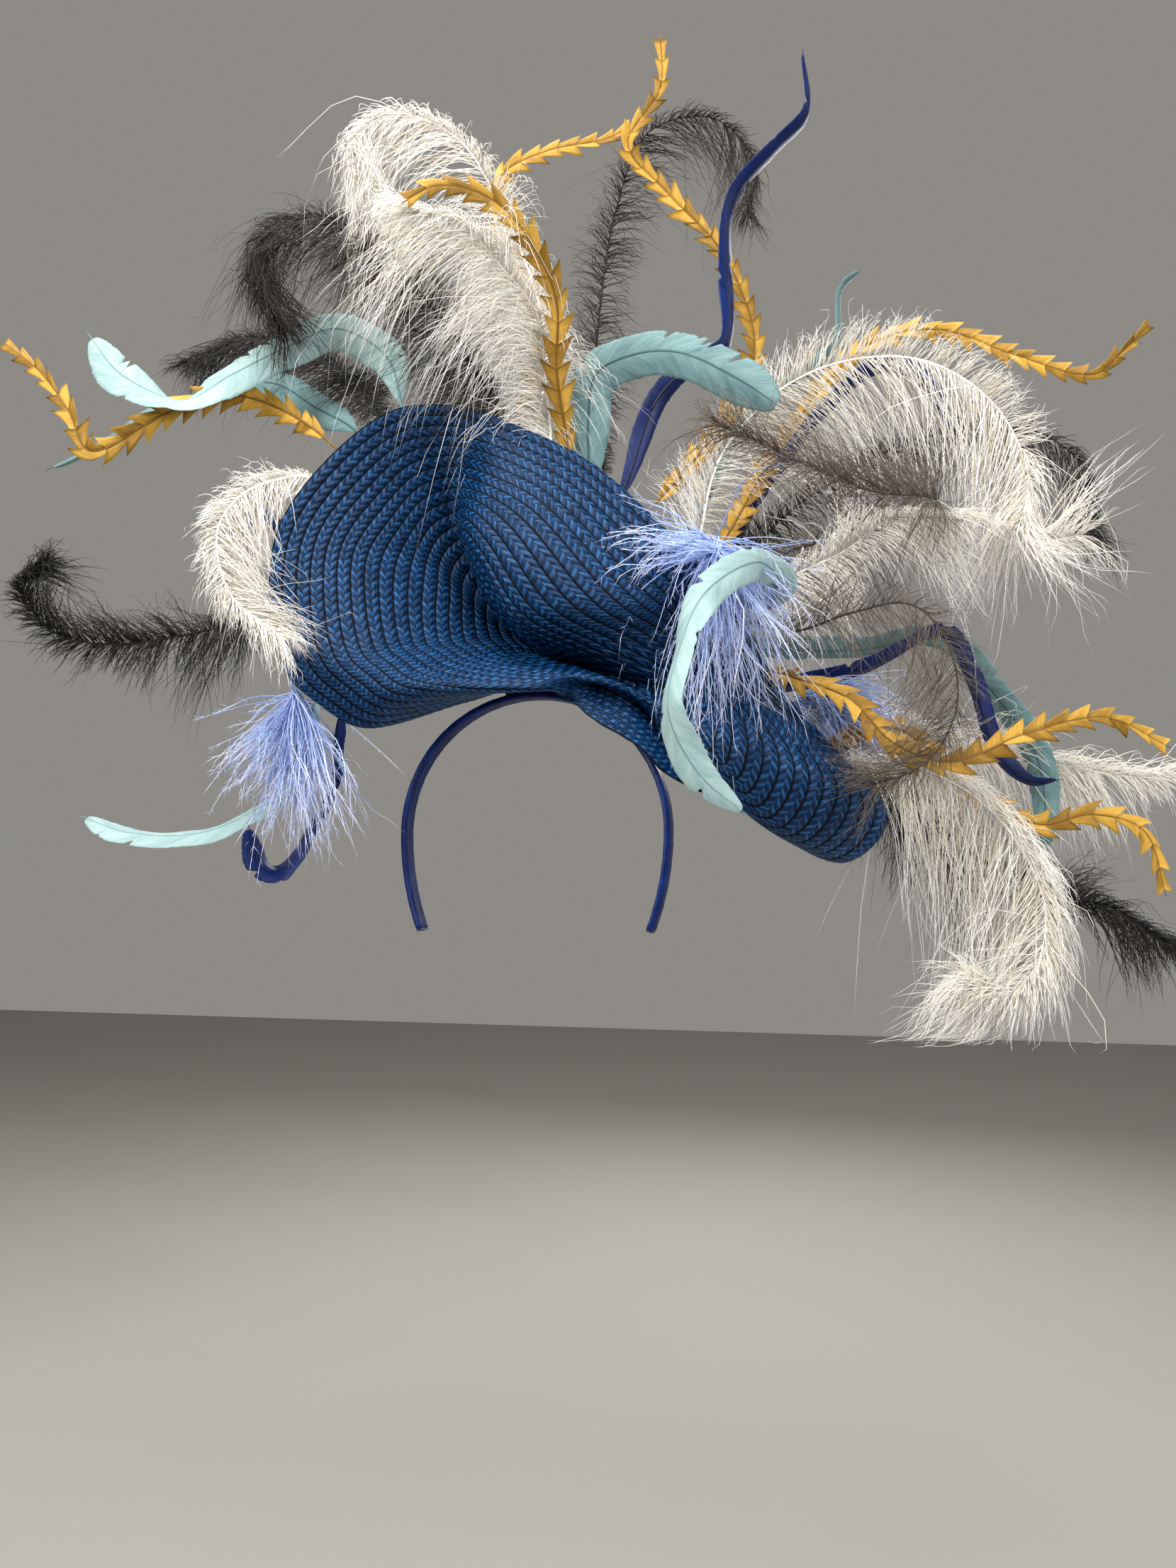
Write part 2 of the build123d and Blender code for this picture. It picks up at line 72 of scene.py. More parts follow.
# ---------------------------------------------------------------- the trim's routes
# Each spoke of the flat disc, by its angle, gives where that spoke lies once the disc is
# folded, at 0.2, 0.45, 0.7 and 1.0 of the disc's radius.  All spokes start at the centre.
SPOKE_RADII = (0, 0.2, 0.45, 0.7, 1)
DISC_CENTRE = (17, 30, 26)
SPOKES = {
    108: ((-21, 25, 53), (-45, 25, 101), (-49, 22, 140), (-52, 8, 175)),
    118: ((-19, 26, 49), (-53, 22, 93), (-69, 12, 131), (-81, 0, 169)),
    132: ((-19, 26, 47), (-57, 18, 82), (-86, 2, 107), (-112, -12, 140)),
    147: ((-19, 24, 44), (-57, 12, 68), (-98, -6, 82), (-139, -20, 98)),
    161: ((-17, 22, 40), (-57, 6, 49), (-97, -14, 53), (-144, -26, 57)),
    175: ((-15, 20, 37), (-54, 0, 33), (-90, -22, 25), (-136, -28, 15)),
    190: ((-11, 16, 33), (-46, -8, 26), (-77, -32, 12), (-115, -18, -7)),
    203: ((-8, 14, 29), (-36, -16, 19), (-63, -42, 2), (-91, -8, -17)),
    222: ((3, 8, 24), (-18, -24, 13), (-33, -46, -2), (-38, 1, 0)),
    239: ((13, 4, 20), (6, -28, 9), (3, -42, -1), (3, -9, 8)),
    255: ((24, 4, 18), (28, -26, 8), (34, -9, 7), (36, -32, -18)),
    263: ((28, 6, 17), (40, -24, 6), (50, -10, 0), (56, -32, -30)),
    272: ((31, 8, 15), (52, -20, 2), (66, -3, -11), (74, -26, -46)),
    290: ((42, 12, 13), (74, -18, -10), (96, -24, -46), (120, 10, -63)),
    312: ((47, 14, 13), (93, -28, -31), (128, -26, -70), (172, 5, -91)),
    328: ((53, 8, 11), (97, -32, -23), (141, -40, -47), (193, -15, -67)),
    343: ((51, 14, 14), (97, -14, -5), (131, -25, -18), (174, 5, -33)),
    358: ((42, 18, 19), (76, -2, 8), (110, -2, 10), (146, 38, 11)),
    375: ((23, 18, 25), (30, -12, 28), (75, -16, 35), (122, 25, 51)),
    405: ((4, 6, 31), (-5, -28, 42), (45, -34, 52), (99, 5, 74)),
    435: ((-15, 8, 46), (-27, -26, 76), (4, -30, 99), (35, 5, 137)),
    455: ((-21, 15, 51), (-39, -8, 95), (-26, -16, 121), (-20, 2, 164)),
}

# Each feather, whose name starts with its kind: the angle at which its quill crosses the rim,
# the share of the radius at which it starts on its felt patch, and its route.
FEATHERS = {
    "plume_grey_behind": (99, 0.78, [(-55, 45, 210), (-85, 60, 255), (-130, 70, 305)]),
    "plume_brown_hook": (95, 0.8, [(-38, 5, 200), (-64, -8, 232), (-91, -8, 262), (-130, 0, 286),
        (-161, 5, 277), (-164, 5, 249), (-146, 0, 217)]),
    "arrow_gold_back": (91.5, 0.78, [(0, 40, 220), (-10, 55, 277), (-25, 60, 318), (-25, 60, 350),
        (5, 60, 367), (40, 60, 374), (60, 60, 385)]),
    "plume_white_tall": (88, 0.82, [(5, 30, 220), (-5, 30, 265), (-20, 20, 298), (-45, 5, 335),
        (-80, -5, 346), (-106, -10, 325), (-97, -5, 280)]),
    "plume_white_near": (84.5, 0.8, [(5, 10, 190), (0, -5, 225), (-20, -20, 245), (-40, -35, 260),
        (-70, -40, 265)]),
    "arrow_gold_near": (81, 0.84, [(12, -5, 190), (12, -20, 225), (-5, -35, 255), (-25, -45, 270),
        (-50, -52, 272), (-70, -55, 260)]),
    "coque_aqua_top": (76.5, 0.86, [(30, 10, 165), (35, 10, 195), (60, 5, 205), (85, -5, 200),
        (115, -15, 180), (140, -20, 160)]),
    "plume_grey_hook": (72.5, 0.8, [(35, 60, 220), (40, 75, 287), (50, 80, 345), (70, 80, 393),
        (110, 75, 400), (137, 65, 365), (132, 60, 323)]),
    "coque_navy_top": (68.5, 0.82, [(70, 30, 185), (90, 35, 210), (115, 35, 226), (116, 40, 274),
        (121, 40, 323), (146, 35, 351), (166, 30, 373), (162, 25, 410)]),
    "arrow_gold_tall": (63, 0.8, [(125, 55, 200), (135, 60, 242), (115, 55, 295), (80, 50, 332),
        (55, 42, 359), (75, 35, 391), (75, 30, 423)]),
    "coque_aqua_upper": (116, 0.86, [(-90, 20, 210), (-120, 25, 230), (-145, 15, 215), (-175, 0, 190),
        (-200, -10, 170), (-235, -10, 185), (-260, 0, 215)]),
    "plume_dark_low": (121, 0.82, [(-120, 50, 215), (-160, 65, 240), (-195, 70, 245), (-225, 70, 230)]),
    "coque_aqua_lower": (126, 0.86, [(-135, 35, 185), (-165, 45, 205), (-200, 45, 200), (-235, 35, 185),
        (-260, 25, 160), (-290, 20, 140)]),
    "arrow_gold_left": (131, 0.8, [(-150, 15, 175), (-180, 5, 180), (-210, -5, 165), (-250, -10, 140),
        (-265, -10, 165), (-285, -5, 190), (-310, 0, 210)]),
    "plume_white_left": (138, 0.84, [(-140, -10, 125), (-160, -25, 110), (-170, -35, 85),
        (-160, -40, 50), (-130, -45, 25)]),
    "coque_navy_left": (147, 0.82, [(-160, 20, 115), (-170, 30, 115), (-185, 40, 105)]),
    "plume_dark_left": (167, 0.84, [(-175, 10, 45), (-205, 15, 40), (-245, 15, 35), (-275, 5, 40),
        (-290, -5, 65), (-270, -15, 75)]),
    "marabou_left": (180, 0.86, [(-130, -5, -5), (-130, -10, -35), (-125, -15, -70)]),
    "coque_aqua_tail": (188, 0.82, [(-135, 12, -40), (-155, 8, -60), (-185, 0, -75), (-225, 0, -75),
        (-255, 5, -65)]),
    "coque_navy_loop": (195, 0.8, [(-115, 10, -45), (-125, 5, -70), (-140, 0, -95), (-150, -10, -90),
        (-155, -15, -70)]),
    "coque_aqua_tip": (54, 0.8, [(140, 90, 205), (195, 100, 255), (200, 100, 295), (215, 100, 310)]),
    "plume_white_right": (50, 0.82, [(110, 40, 155), (145, 35, 195), (185, 25, 210), (230, 15, 205),
        (265, 5, 175), (280, -5, 130), (275, -10, 90), (305, -15, 90)]),
    "arrow_gold_right": (46.5, 0.8, [(155, 70, 180), (205, 75, 240), (250, 65, 250), (300, 60, 230),
        (345, 55, 215), (365, 50, 230), (380, 45, 245)]),
    "coque_navy_right": (43, 0.78, [(135, 60, 135), (185, 60, 200), (220, 55, 222), (245, 50, 200),
        (255, 50, 170)]),
    "plume_dark_right": (39.5, 0.76, [(165, 80, 140), (240, 90, 185), (305, 85, 195), (345, 75, 165),
        (350, 70, 110)]),
    "marabou_right": (35.5, 0.86, [(100, -8, 88), (104, -30, 60), (110, -38, 20), (110, -40, -12)]),
    "plume_grey_over": (31, 0.8, [(155, 45, 100), (215, 20, 105), (225, -15, 110), (180, -45, 105),
        (135, -65, 115), (95, -75, 130)]),
    "coque_aqua_front": (27, 0.84, [(135, -20, 60), (120, -42, 67), (90, -62, 45), (75, -72, 10),
        (70, -78, -20), (85, -75, -50), (110, -68, -70)]),
    "plume_white_mid": (22, 0.8, [(150, 36, 80), (180, 24, 92), (205, 0, 105), (240, -10, 100)]),
    "plume_grey_right": (17, 0.84, [(145, 5, 40), (175, -20, 45), (200, -40, 45), (215, -52, 25),
        (220, -55, -10), (205, -55, -40), (175, -55, -55)]),
    "coque_aqua_right": (8, 0.8, [(195, 55, 40), (245, 50, 45), (275, 45, 10), (295, 35, -30),
        (295, 25, -85)]),
    "arrow_gold_long": (4, 0.84, [(145, -12, 10), (170, -32, -5), (190, -42, -30), (220, -42, -40),
        (260, -38, -25), (305, -32, -15), (345, -22, -30)]),
    "coque_navy_low": (0, 0.78, [(195, 35, 25), (240, 30, 45), (255, 25, 15), (265, 20, -25),
        (280, 10, -45), (295, 0, -45)]),
    "marabou_low": (-4, 0.86, [(175, 20, 15), (200, 15, 15), (230, 10, 5)]),
    "plume_white_far": (-8, 0.8, [(200, 40, 0), (250, 45, -25), (300, 45, -30), (355, 40, -40),
        (380, 35, -40)]),
    "arrow_gold_small": (-12, 0.84, [(205, 10, -15), (245, 5, -50), (280, 0, -70), (310, -5, -65),
        (335, -10, -75), (345, -10, -110)]),
    "plume_grey_low": (-15.5, 0.78, [(200, 60, -25), (230, 70, -55), (260, 70, -95), (275, 70, -135)]),
    "plume_white_low": (-19, 0.84, [(195, -5, -35), (230, -20, -50), (255, -25, -75), (270, -30, -110),
        (267, -30, -142), (250, -30, -160), (230, -26, -154)]),
    "plume_dark_low_right": (-23, 0.82, [(210, 20, -50), (240, 25, -80), (285, 25, -110),
        (325, 20, -115), (360, 15, -140)]),
}

# The two ends of the ring of spokes are repeated, so that the folded disc closes smoothly.
spoke_angles = list(SPOKES)
spoke_ring = {a - 360: SPOKES[a] for a in spoke_angles[-2:]}
spoke_ring.update(SPOKES)
spoke_ring.update({a + 360: SPOKES[a] for a in spoke_angles[:2]})


# ---------------------------------------------------------------- curves and surfaces
def turned(points):
    """Points of the trim, in mm from the top of the head, as metres in the row frame."""
    p = np.asarray(points, float)
    x = p[..., 0] * math.cos(TRIM_YAW) - p[..., 1] * math.sin(TRIM_YAW)
    y = p[..., 0] * math.sin(TRIM_YAW) + p[..., 1] * math.cos(TRIM_YAW)
    return np.stack((x, y, p[..., 2] + HEAD_RADIUS), -1) * MM


def unit(vectors):
    return vectors / np.maximum(np.linalg.norm(vectors, axis=-1, keepdims=True), 1e-12)


def smooth(knots, values, t):
    """A cubic curve through the values at the knots, its slopes taken from neighbours."""
    knots, values, t = (np.asarray(x, float) for x in (knots, values, t))
    across = (-1,) + (1,) * (values.ndim - 1)
    index = np.arange(len(knots))
    low, high = np.maximum(index - 1, 0), np.minimum(index + 1, len(knots) - 1)
    slopes = (values[high] - values[low]) / (knots[high] - knots[low]).reshape(across)
    i = np.clip(np.searchsorted(knots, t, side="right") - 1, 0, len(knots) - 2)
    span = (knots[i + 1] - knots[i]).reshape(across)
    s = ((t - knots[i]) / (knots[i + 1] - knots[i])).reshape(across)
    start = values[i] * (2 * s**3 - 3 * s**2 + 1) + slopes[i] * span * (s**3 - 2 * s**2 + s)
    end = values[i + 1] * (3 * s**2 - 2 * s**3) + slopes[i + 1] * span * (s**3 - s**2)
    return start + end


def braid(radii, angles):
    """The folded disc's middle surface in mm: one row per radius, one column per angle."""
    spokes = [smooth(SPOKE_RADII, [DISC_CENTRE, *spoke_ring[a]], radii) for a in spoke_ring]
    around = (np.asarray(angles, float) - spoke_angles[0]) % 360 + spoke_angles[0]
    return smooth(list(spoke_ring), spokes, around).transpose(1, 0, 2)


def braid_normals(radii, angles):
    """The side of the braid that faces back, for the same grid."""
    r = np.clip(radii, 0.06, 0.98)
    out = braid(r + 0.02, angles) - braid(r - 0.02, angles)
    along = braid(r, np.asarray(angles) + 1) - braid(r, np.asarray(angles) - 1)
    return unit(np.cross(along, out))


def behind(radius, angle, depth):
    """One point behind the braid's middle surface, in mm, before the trim is turned."""
    return (braid([radius], [angle]) + braid_normals([radius], [angle]) * depth)[0, 0]


QUILL_DEPTH = 4.3  # mm, how far behind the braid's middle a quill lies on its felt
RIM_CLEARANCE = 6  # mm, how far behind the rim's middle surface a quill passes
SPINE_SAMPLES = 161
SMOOTHING = 15  # samples over which a flat feather's facing is evened out


class Spine:
    """A feather's middle line, sampled evenly, with the way its two sides lie.

    Without twist the sides lie as they leave the root, untwisted.  With it, 0 degrees shows
    the feather broad from the front and 90 shows it on edge.
    """

    def __init__(self, name, twist=None):
        angle, start, points = FEATHERS[name]
        route = [behind(start, angle, QUILL_DEPTH), behind(1, angle, RIM_CLEARANCE), *points]
        route = turned(np.array(route, float))
        chord = np.cumsum([0, *np.linalg.norm(np.diff(route, axis=0), axis=1) ** 0.75])
        fine = smooth(chord, route, np.linspace(0, chord[-1], SPINE_SAMPLES * 6))
        travelled = np.cumsum([0, *np.linalg.norm(np.diff(fine, axis=0), axis=1)])
        self.share = np.linspace(0, 1, SPINE_SAMPLES)
        self.length = travelled[-1]
        even = self.share * self.length
        self.points = np.stack([np.interp(even, travelled, fine[:, k]) for k in range(3)], 1)
        self.ahead = unit(np.gradient(self.points, axis=0))
        front = turned((0, -1, 0)) - turned((0, 0, 0))
        side = np.cross(self.ahead[0], front)
        sides = []
        for ahead in self.ahead:
            side = unit(side - ahead * (side @ ahead))
            sides.append(side)
        side = np.array(sides)
        turn = np.zeros(SPINE_SAMPLES)
        if twist is not None:
            broad = unit(np.cross(self.ahead, front))
            window = np.ones(SMOOTHING) / SMOOTHING
            padded = np.pad(broad, ((SMOOTHING // 2, SMOOTHING // 2), (0, 0)), mode="edge")
            even = [np.convolve(padded[:, k], window, mode="valid") for k in range(3)]
            side = np.stack(even, 1)
            side = unit(side - self.ahead * np.sum(side * self.ahead, 1, keepdims=True))
            turn = np.radians(np.interp(self.share, *zip(*twist)))
        face = np.cross(self.ahead, side)
        cosine, sine = np.cos(turn)[:, None], np.sin(turn)[:, None]
        self.side = side * cosine + face * sine
        self.face = face * cosine - side * sine

    def at(self, share):
        """Place, direction, side and face at shares of the length."""
        share = np.clip(share, 0, 1)
        rows = (self.points, self.ahead, self.side, self.face)
        flat = np.ravel(share)
        out = []
        for row in rows:
            picked = np.stack([np.interp(flat, self.share, row[:, k]) for k in range(3)], 1)
            out.append(picked.reshape(*np.shape(share), 3))
        return out[0], unit(out[1]), unit(out[2]), unit(out[3])


# ---------------------------------------------------------------- mesh builders
class Shape:
    """Gathers closed parts of one piece, with a few numbers kept on each vertex."""

    def __init__(self):
        self.vertices, self.faces, self.numbers, self.count = [], [], {}, 0

    def add(self, vertices, faces, **numbers):
        vertices = np.asarray(vertices, float).reshape(-1, 3)
        self.vertices.append(vertices)
        for group in faces:
            self.faces += (np.asarray(group, int) + self.count).tolist()
        for key, value in numbers.items():
            value = np.broadcast_to(np.asarray(value, float).ravel(), (len(vertices),))
            self.numbers.setdefault(key, []).append(value)
        self.count += len(vertices)

    def build(self, name):
        mesh = bpy.data.meshes.new(name)
        mesh.from_pydata(np.concatenate(self.vertices).tolist(), [], self.faces)
        for key, values in self.numbers.items():
            attribute = mesh.attributes.new(key, "FLOAT", "POINT")
            attribute.data.foreach_set("value", np.concatenate(values).astype(np.float32))
        mesh.polygons.foreach_set("use_smooth", [True] * len(mesh.polygons))
        piece = bpy.data.objects.new(name, mesh)
        bpy.context.scene.collection.objects.link(piece)
        return piece


TUBE_SIDES, HAIR_SIDES = 6, 3
HAIR_TAPER = 0.72  # how much of its radius a hair loses on the way to its tip


def tube_faces(rings, sides):
    """Quads between neighbouring rings of vertices."""
    grid = np.arange(rings * sides).reshape(rings, sides)
    after = np.roll(grid, -1, axis=1)
    return np.stack((grid[:-1], after[:-1], after[1:], grid[1:]), -1).reshape(-1, 4)


def tube_ends(rings, sides):
    """The two faces that close a tube, each as a group of its own."""
    last = (rings - 1) * sides
    return [list(range(sides))[::-1]], [list(range(last, last + sides))]


def sheet_ends(rows, columns):
    """Quads that close both ends of a thin double sheet, whose sections run round it."""
    around = 2 * columns
    last = (rows - 1) * around
    near = [[k, k + 1, around - 2 - k, around - 1 - k] for k in range(columns - 1)]
    return near + [[last + corner for corner in quad[::-1]] for quad in near]


def rings_round(centres, radii, sides):
    """A ring of points round each centre, square to the line that the centres follow."""
    ahead = unit(np.gradient(centres, axis=-2))
    level = np.where(np.abs(ahead[..., 2:]) > 0.9, (1.0, 0, 0), (0, 0, 1.0))
    u = unit(np.cross(ahead, level))
    v = np.cross(ahead, u)
    corners = np.linspace(0, 2 * math.pi, sides, endpoint=False)[:, None]
    ring = u[..., None, :] * np.cos(corners) + v[..., None, :] * np.sin(corners)
    return centres[..., None, :] + ring * radii[..., None, None]


def add_tube(shape, points, radii, **numbers):
    """A closed round stick along a row of points."""
    numbers = {key: np.repeat(value, TUBE_SIDES) for key, value in numbers.items()}
    groups = [tube_faces(len(points), TUBE_SIDES), *tube_ends(len(points), TUBE_SIDES)]
    shape.add(rings_round(points, radii, TUBE_SIDES), groups, **numbers)


def add_hairs(shape, centres, radius, shade):
    """Closed tapered hairs: centres is (hairs, steps, 3), radius (hairs,), shade (hairs,)."""
    hairs, steps, _ = centres.shape
    reach = np.linspace(0, 1, steps)
    taper = radius[:, None] * (1 - HAIR_TAPER * reach)
    rings = rings_round(centres, taper, HAIR_SIDES)[:, :-1].reshape(hairs, -1, 3)
    vertices = np.concatenate((rings, centres[:, -1:]), 1)
    each = vertices.shape[1]
    quads = tube_faces(steps - 1, HAIR_SIDES)
    last = (steps - 2) * HAIR_SIDES
    tips = [[last + k, last + (k + 1) % HAIR_SIDES, each - 1] for k in range(HAIR_SIDES)]
    tips.append([2, 1, 0])
    offset = (np.arange(hairs) * each)[:, None, None]
    along = np.append(np.repeat(reach[:-1], HAIR_SIDES), 1)
    groups = [(quads + offset).reshape(-1, 4), (np.array(tips) + offset).reshape(-1, 3)]
    shape.add(vertices, groups, shade=np.repeat(shade, each), reach=np.tile(along, hairs))


# How far soft tips may stand out of the CAD box, and how far before that they are eased
# back, in metres.
STRAY = np.array((0.018, 0.012, 0.02))
EASING = 0.014


def inside_box(points):
    """Eases soft tips back where they would stray out of the CAD box by more than STRAY."""
    middle = (np.array(cad_box[0]) + np.array(cad_box[1])) / 2
    limit = (np.array(cad_box[1]) - np.array(cad_box[0])) / 2 + STRAY
    away = points - middle
    over = np.maximum(np.abs(away) - (limit - EASING), 0)
    eased = limit - EASING + EASING * np.tanh(over / EASING)
    return middle + np.where(over > 0, np.sign(away) * eased, away)


# ---------------------------------------------------------------- finishes
def linear(code):
    """A hex colour as the linear RGBA that shader nodes take."""
    parts = [int(code[k:k + 2], 16) / 255 for k in (0, 2, 4)]
    return [p / 12.92 if p < 0.04045 else ((p + 0.055) / 1.055) ** 2.4 for p in parts] + [1]


class Finish:
    """A node material, with short calls for the nodes that these finishes share."""

    def __init__(self, name, **shader):
        self.material = bpy.data.materials.new(name)
        self.material.use_nodes = True
        self.tree = self.material.node_tree
        self.shader = self.tree.nodes["Principled BSDF"]
        for key, value in shader.items():
            self.shader.inputs[key.replace("_", " ")].default_value = value

    def new(self, kind, inputs=(), output=0, **settings):
        node = self.tree.nodes.new("ShaderNode" + kind)
        for key, value in settings.items():
            setattr(node, key, value)
        for key, value in dict(inputs).items():
            self.put(node.inputs[key], value)
        return node.outputs[output]

    def put(self, socket, value):
        """Links another node's output, or sets a number or a hex colour."""
        if isinstance(value, bpy.types.NodeSocket):
            self.tree.links.new(value, socket)
        else:
            socket.default_value = linear(value) if isinstance(value, str) else value

    def math(self, operation, *values):
        return self.new("Math", dict(enumerate(values)), operation=operation)

    def times(self, a, b):
        return self.math("MULTIPLY", a, b)

    def weigh(self, value, weight, rest):
        """The value times its weight, added to the rest."""
        return self.math("MULTIPLY_ADD", value, weight, rest)

    def spread(self, value, low, high, to_low=0.0, to_high=1.0):
        """Maps a range on to another, held at its ends."""
        numbers = {0: value, 1: low, 2: high, 3: to_low, 4: to_high}
        return self.new("MapRange", numbers, clamp=True, interpolation_type="SMOOTHSTEP")

    def mix(self, share, a, b):
        return self.new("Mix", {0: share, 6: a, 7: b}, output=2, data_type="RGBA")

    def noise(self, vector, scale, detail=3.0):
        inputs = {"Vector": vector, "Scale": scale, "Detail": detail}
        return self.new("TexNoise", inputs, output="Fac")

    def number(self, name):
        """A number kept on the mesh."""
        return self.new("Attribute", output="Fac", attribute_name=name)

    def place(self):
        return self.new("TexCoord", output="Object")

    def done(self, colour, roughness, height=None, depth=0.0004):
        self.put(self.shader.inputs["Base Color"], colour)
        self.put(self.shader.inputs["Roughness"], roughness)
        if height is not None:
            inputs = {"Strength": 0.9, "Distance": depth, "Height": height}
            self.put(self.shader.inputs["Normal"], self.new("Bump", inputs, output="Normal"))
        return self.material


def straw_finish():
    """Glossy plaited braid: slanting strands in each row, painted shade in the seams and a sewing
    thread.
    """
    f = Finish("straw", Specular_IOR_Level=0.18)
    plait = f.new("UVMap", uv_map="plait")
    split = f.tree.nodes.new("ShaderNodeSeparateXYZ")
    f.put(split.inputs[0], plait)
    rows, turns = split.outputs[0], split.outputs[1]
    row = f.math("FRACT", rows)
    off = f.math("ABSOLUTE", f.math("SUBTRACT", row, 0.5))
    side = f.math("GREATER_THAN", row, 0.5)
    slant = f.weigh(off, 1.5, turns)
    phase = f.weigh(side, 0.5, slant)
    wave = f.math("SINE", f.times(phase, 2 * math.pi))
    strand = f.spread(wave, -0.75, 0.75)
    lane = f.weigh(f.math("FLOOR", rows), 7.3, f.times(row, 1.6))
    grain = f.new("CombineXYZ", {0: f.times(phase, 6.0), 1: lane, 2: side})
    fibres = f.noise(grain, 2.2, 2.0)
    cell = f.new("CombineXYZ", {0: f.math("FLOOR", phase), 1: f.math("FLOOR", rows), 2: side})
    each = f.new("TexWhiteNoise", {"Vector": cell}, noise_dimensions="3D")
    # The colour follows the plaits' relief: crests painted lighter, up to the palest blue, as a painted
    # highlight, and hollows painted darker as painted shade; the fibres and each plait's random tone
    # are real variation.
    tone = f.weigh(strand, 0.45, f.times(fibres, 0.5))
    tone = f.weigh(each, 0.2, tone)
    colour = f.mix(f.spread(tone, 0.1, 0.62), "000c20", "022c55")
    colour = f.mix(f.spread(tone, 0.6, 1.1), colour, "2a669c")
    # Painted shade: the seams between rows are darkened nearly to black, as shade from the overlapping
    # rows would fall; the same mask also sinks the bump and roughens the seam.
    seam_and_shade = f.spread(off, 0.38, 0.46)
    colour = f.mix(f.times(seam_and_shade, 0.9), colour, "01030a")
    # A sewing thread along each row, drawn as a lighter dashed line: the stitches are real, and their
    # lighter blue is partly a painted highlight on the raised thread.
    dash = f.math("LESS_THAN", f.math("FRACT", f.times(turns, 0.5)), 0.72)
    near = f.spread(f.math("ABSOLUTE", f.math("SUBTRACT", row, 0.88)), 0.0, 0.04, 0.2, 0.0)
    colour = f.mix(f.times(near, dash), colour, "4a7fc0")
    height = f.weigh(strand, 0.8, f.times(fibres, 0.35))
    height = f.weigh(seam_and_shade, -1.2, height)
    rough = f.weigh(seam_and_shade, 0.5, f.spread(fibres, 0.3, 0.7, 0.25, 0.42))
    return f.done(colour, rough, height, 0.0009)


def satin_finish():
    """Navy satin ribbon: a fine warp along the band and soft streaks of sheen."""
    f = Finish("satin", Specular_IOR_Level=0.2)
    along, across = f.number("along"), f.number("across")
    thread = f.new("CombineXYZ", {0: f.times(along, 25.0), 1: across})
    streak = f.noise(thread, 1.5)
    warp = f.math("SINE", f.times(across, 210.0))
    weft = f.math("SINE", f.times(along, 9000.0))
    colour = f.mix(f.spread(streak, 0.3, 0.7), "000e38", "002468")
    height = f.weigh(warp, 0.3, f.times(weft, 0.3))
    height = f.weigh(streak, 1.5, height)
    return f.done(colour, f.spread(streak, 0.3, 0.7, 0.2, 0.34), height, 0.00012)


def hair_finish(name, dark, light, tip, tips_from=0.6, sheen=0.3):
    """Barbs that differ a little from each other and change colour towards their tips."""
    f = Finish(name, Sheen_Weight=sheen, Specular_IOR_Level=0.3)
    blotch = f.noise(f.place(), 60.0)
    tone = f.weigh(blotch, 0.5, f.times(f.number("shade"), 0.75))
    colour = f.mix(f.spread(tone, 0.2, 1.0), dark, light)
    colour = f.mix(f.spread(f.number("reach"), tips_from, 1.0), colour, tip)
    down = f.noise(f.place(), 1400.0)
    return f.done(colour, f.spread(blotch, 0.3, 0.7, 0.5, 0.72), down, 0.0002)


def vane_finish(name, dark, light, quill, roughness, sheen):
    """A feather's flat vane: slanting barb lines, soft cross bars and its quill's line."""
    f = Finish(name, Sheen_Weight=sheen, Specular_IOR_Level=0.28)
    along, across = f.number("along"), f.number("across")
    out = f.math("ABSOLUTE", across)
    slant = f.weigh(out, -0.006, along)
    lines = f.math("SINE", f.times(slant, 7500.0))
    bars = f.noise(f.new("CombineXYZ", {0: f.times(slant, 110.0), 1: across}), 1.0)
    fine = f.noise(f.new("CombineXYZ", {0: f.times(slant, 900.0), 1: out}), 1.0)
    tone = f.weigh(fine, 0.4, f.times(bars, 0.6))
    tone = f.weigh(f.number("shade"), 0.45, f.math("SUBTRACT", tone, 0.22))
    colour = f.mix(f.spread(tone, 0.2, 0.75), dark, light)
    rib = f.spread(out, 0.03, 0.08, 0.8, 0.0)
    colour = f.mix(rib, colour, quill)
    height = f.weigh(lines, 0.3, f.times(fine, 0.8))
    return f.done(colour, f.spread(fine, 0.3, 0.7, roughness - 0.08, roughness + 0.1),
                  height, 0.0002)


def felt_finish():
    f = Finish("felt", Sheen_Weight=0.12, Sheen_Roughness=0.6, Specular_IOR_Level=0.1)
    fuzz, cloud = f.noise(f.place(), 1800.0, 5.0), f.noise(f.place(), 140.0)
    tone = f.weigh(fuzz, 0.6, f.times(cloud, 0.4))
    colour = f.mix(f.spread(tone, 0.3, 0.7), "040f2b", "10264f")
    return f.done(colour, f.spread(fuzz, 0.3, 0.7, 0.85, 1.0), tone, 0.0005)


def thread_finish():
    f = Finish("sewing_thread", Sheen_Weight=0.1)
    twist = f.new("TexWave", {"Vector": f.place(), "Scale": 900.0, "Distortion": 1.0},
                  output="Fac", bands_direction="DIAGONAL")
    colour = f.mix(twist, "0f1f4a", "3a5796")
    return f.done(colour, f.spread(twist, 0.0, 1.0, 0.4, 0.6), twist, 0.0002)


def core_finish():
    f = Finish("moulded_strip", Specular_IOR_Level=0.5)
    grain = f.noise(f.place(), 900.0)
    colour = f.mix(f.spread(grain, 0.3, 0.7), "0c1230", "182350")
    return f.done(colour, f.spread(grain, 0.3, 0.7, 0.38, 0.5), grain, 0.0001)


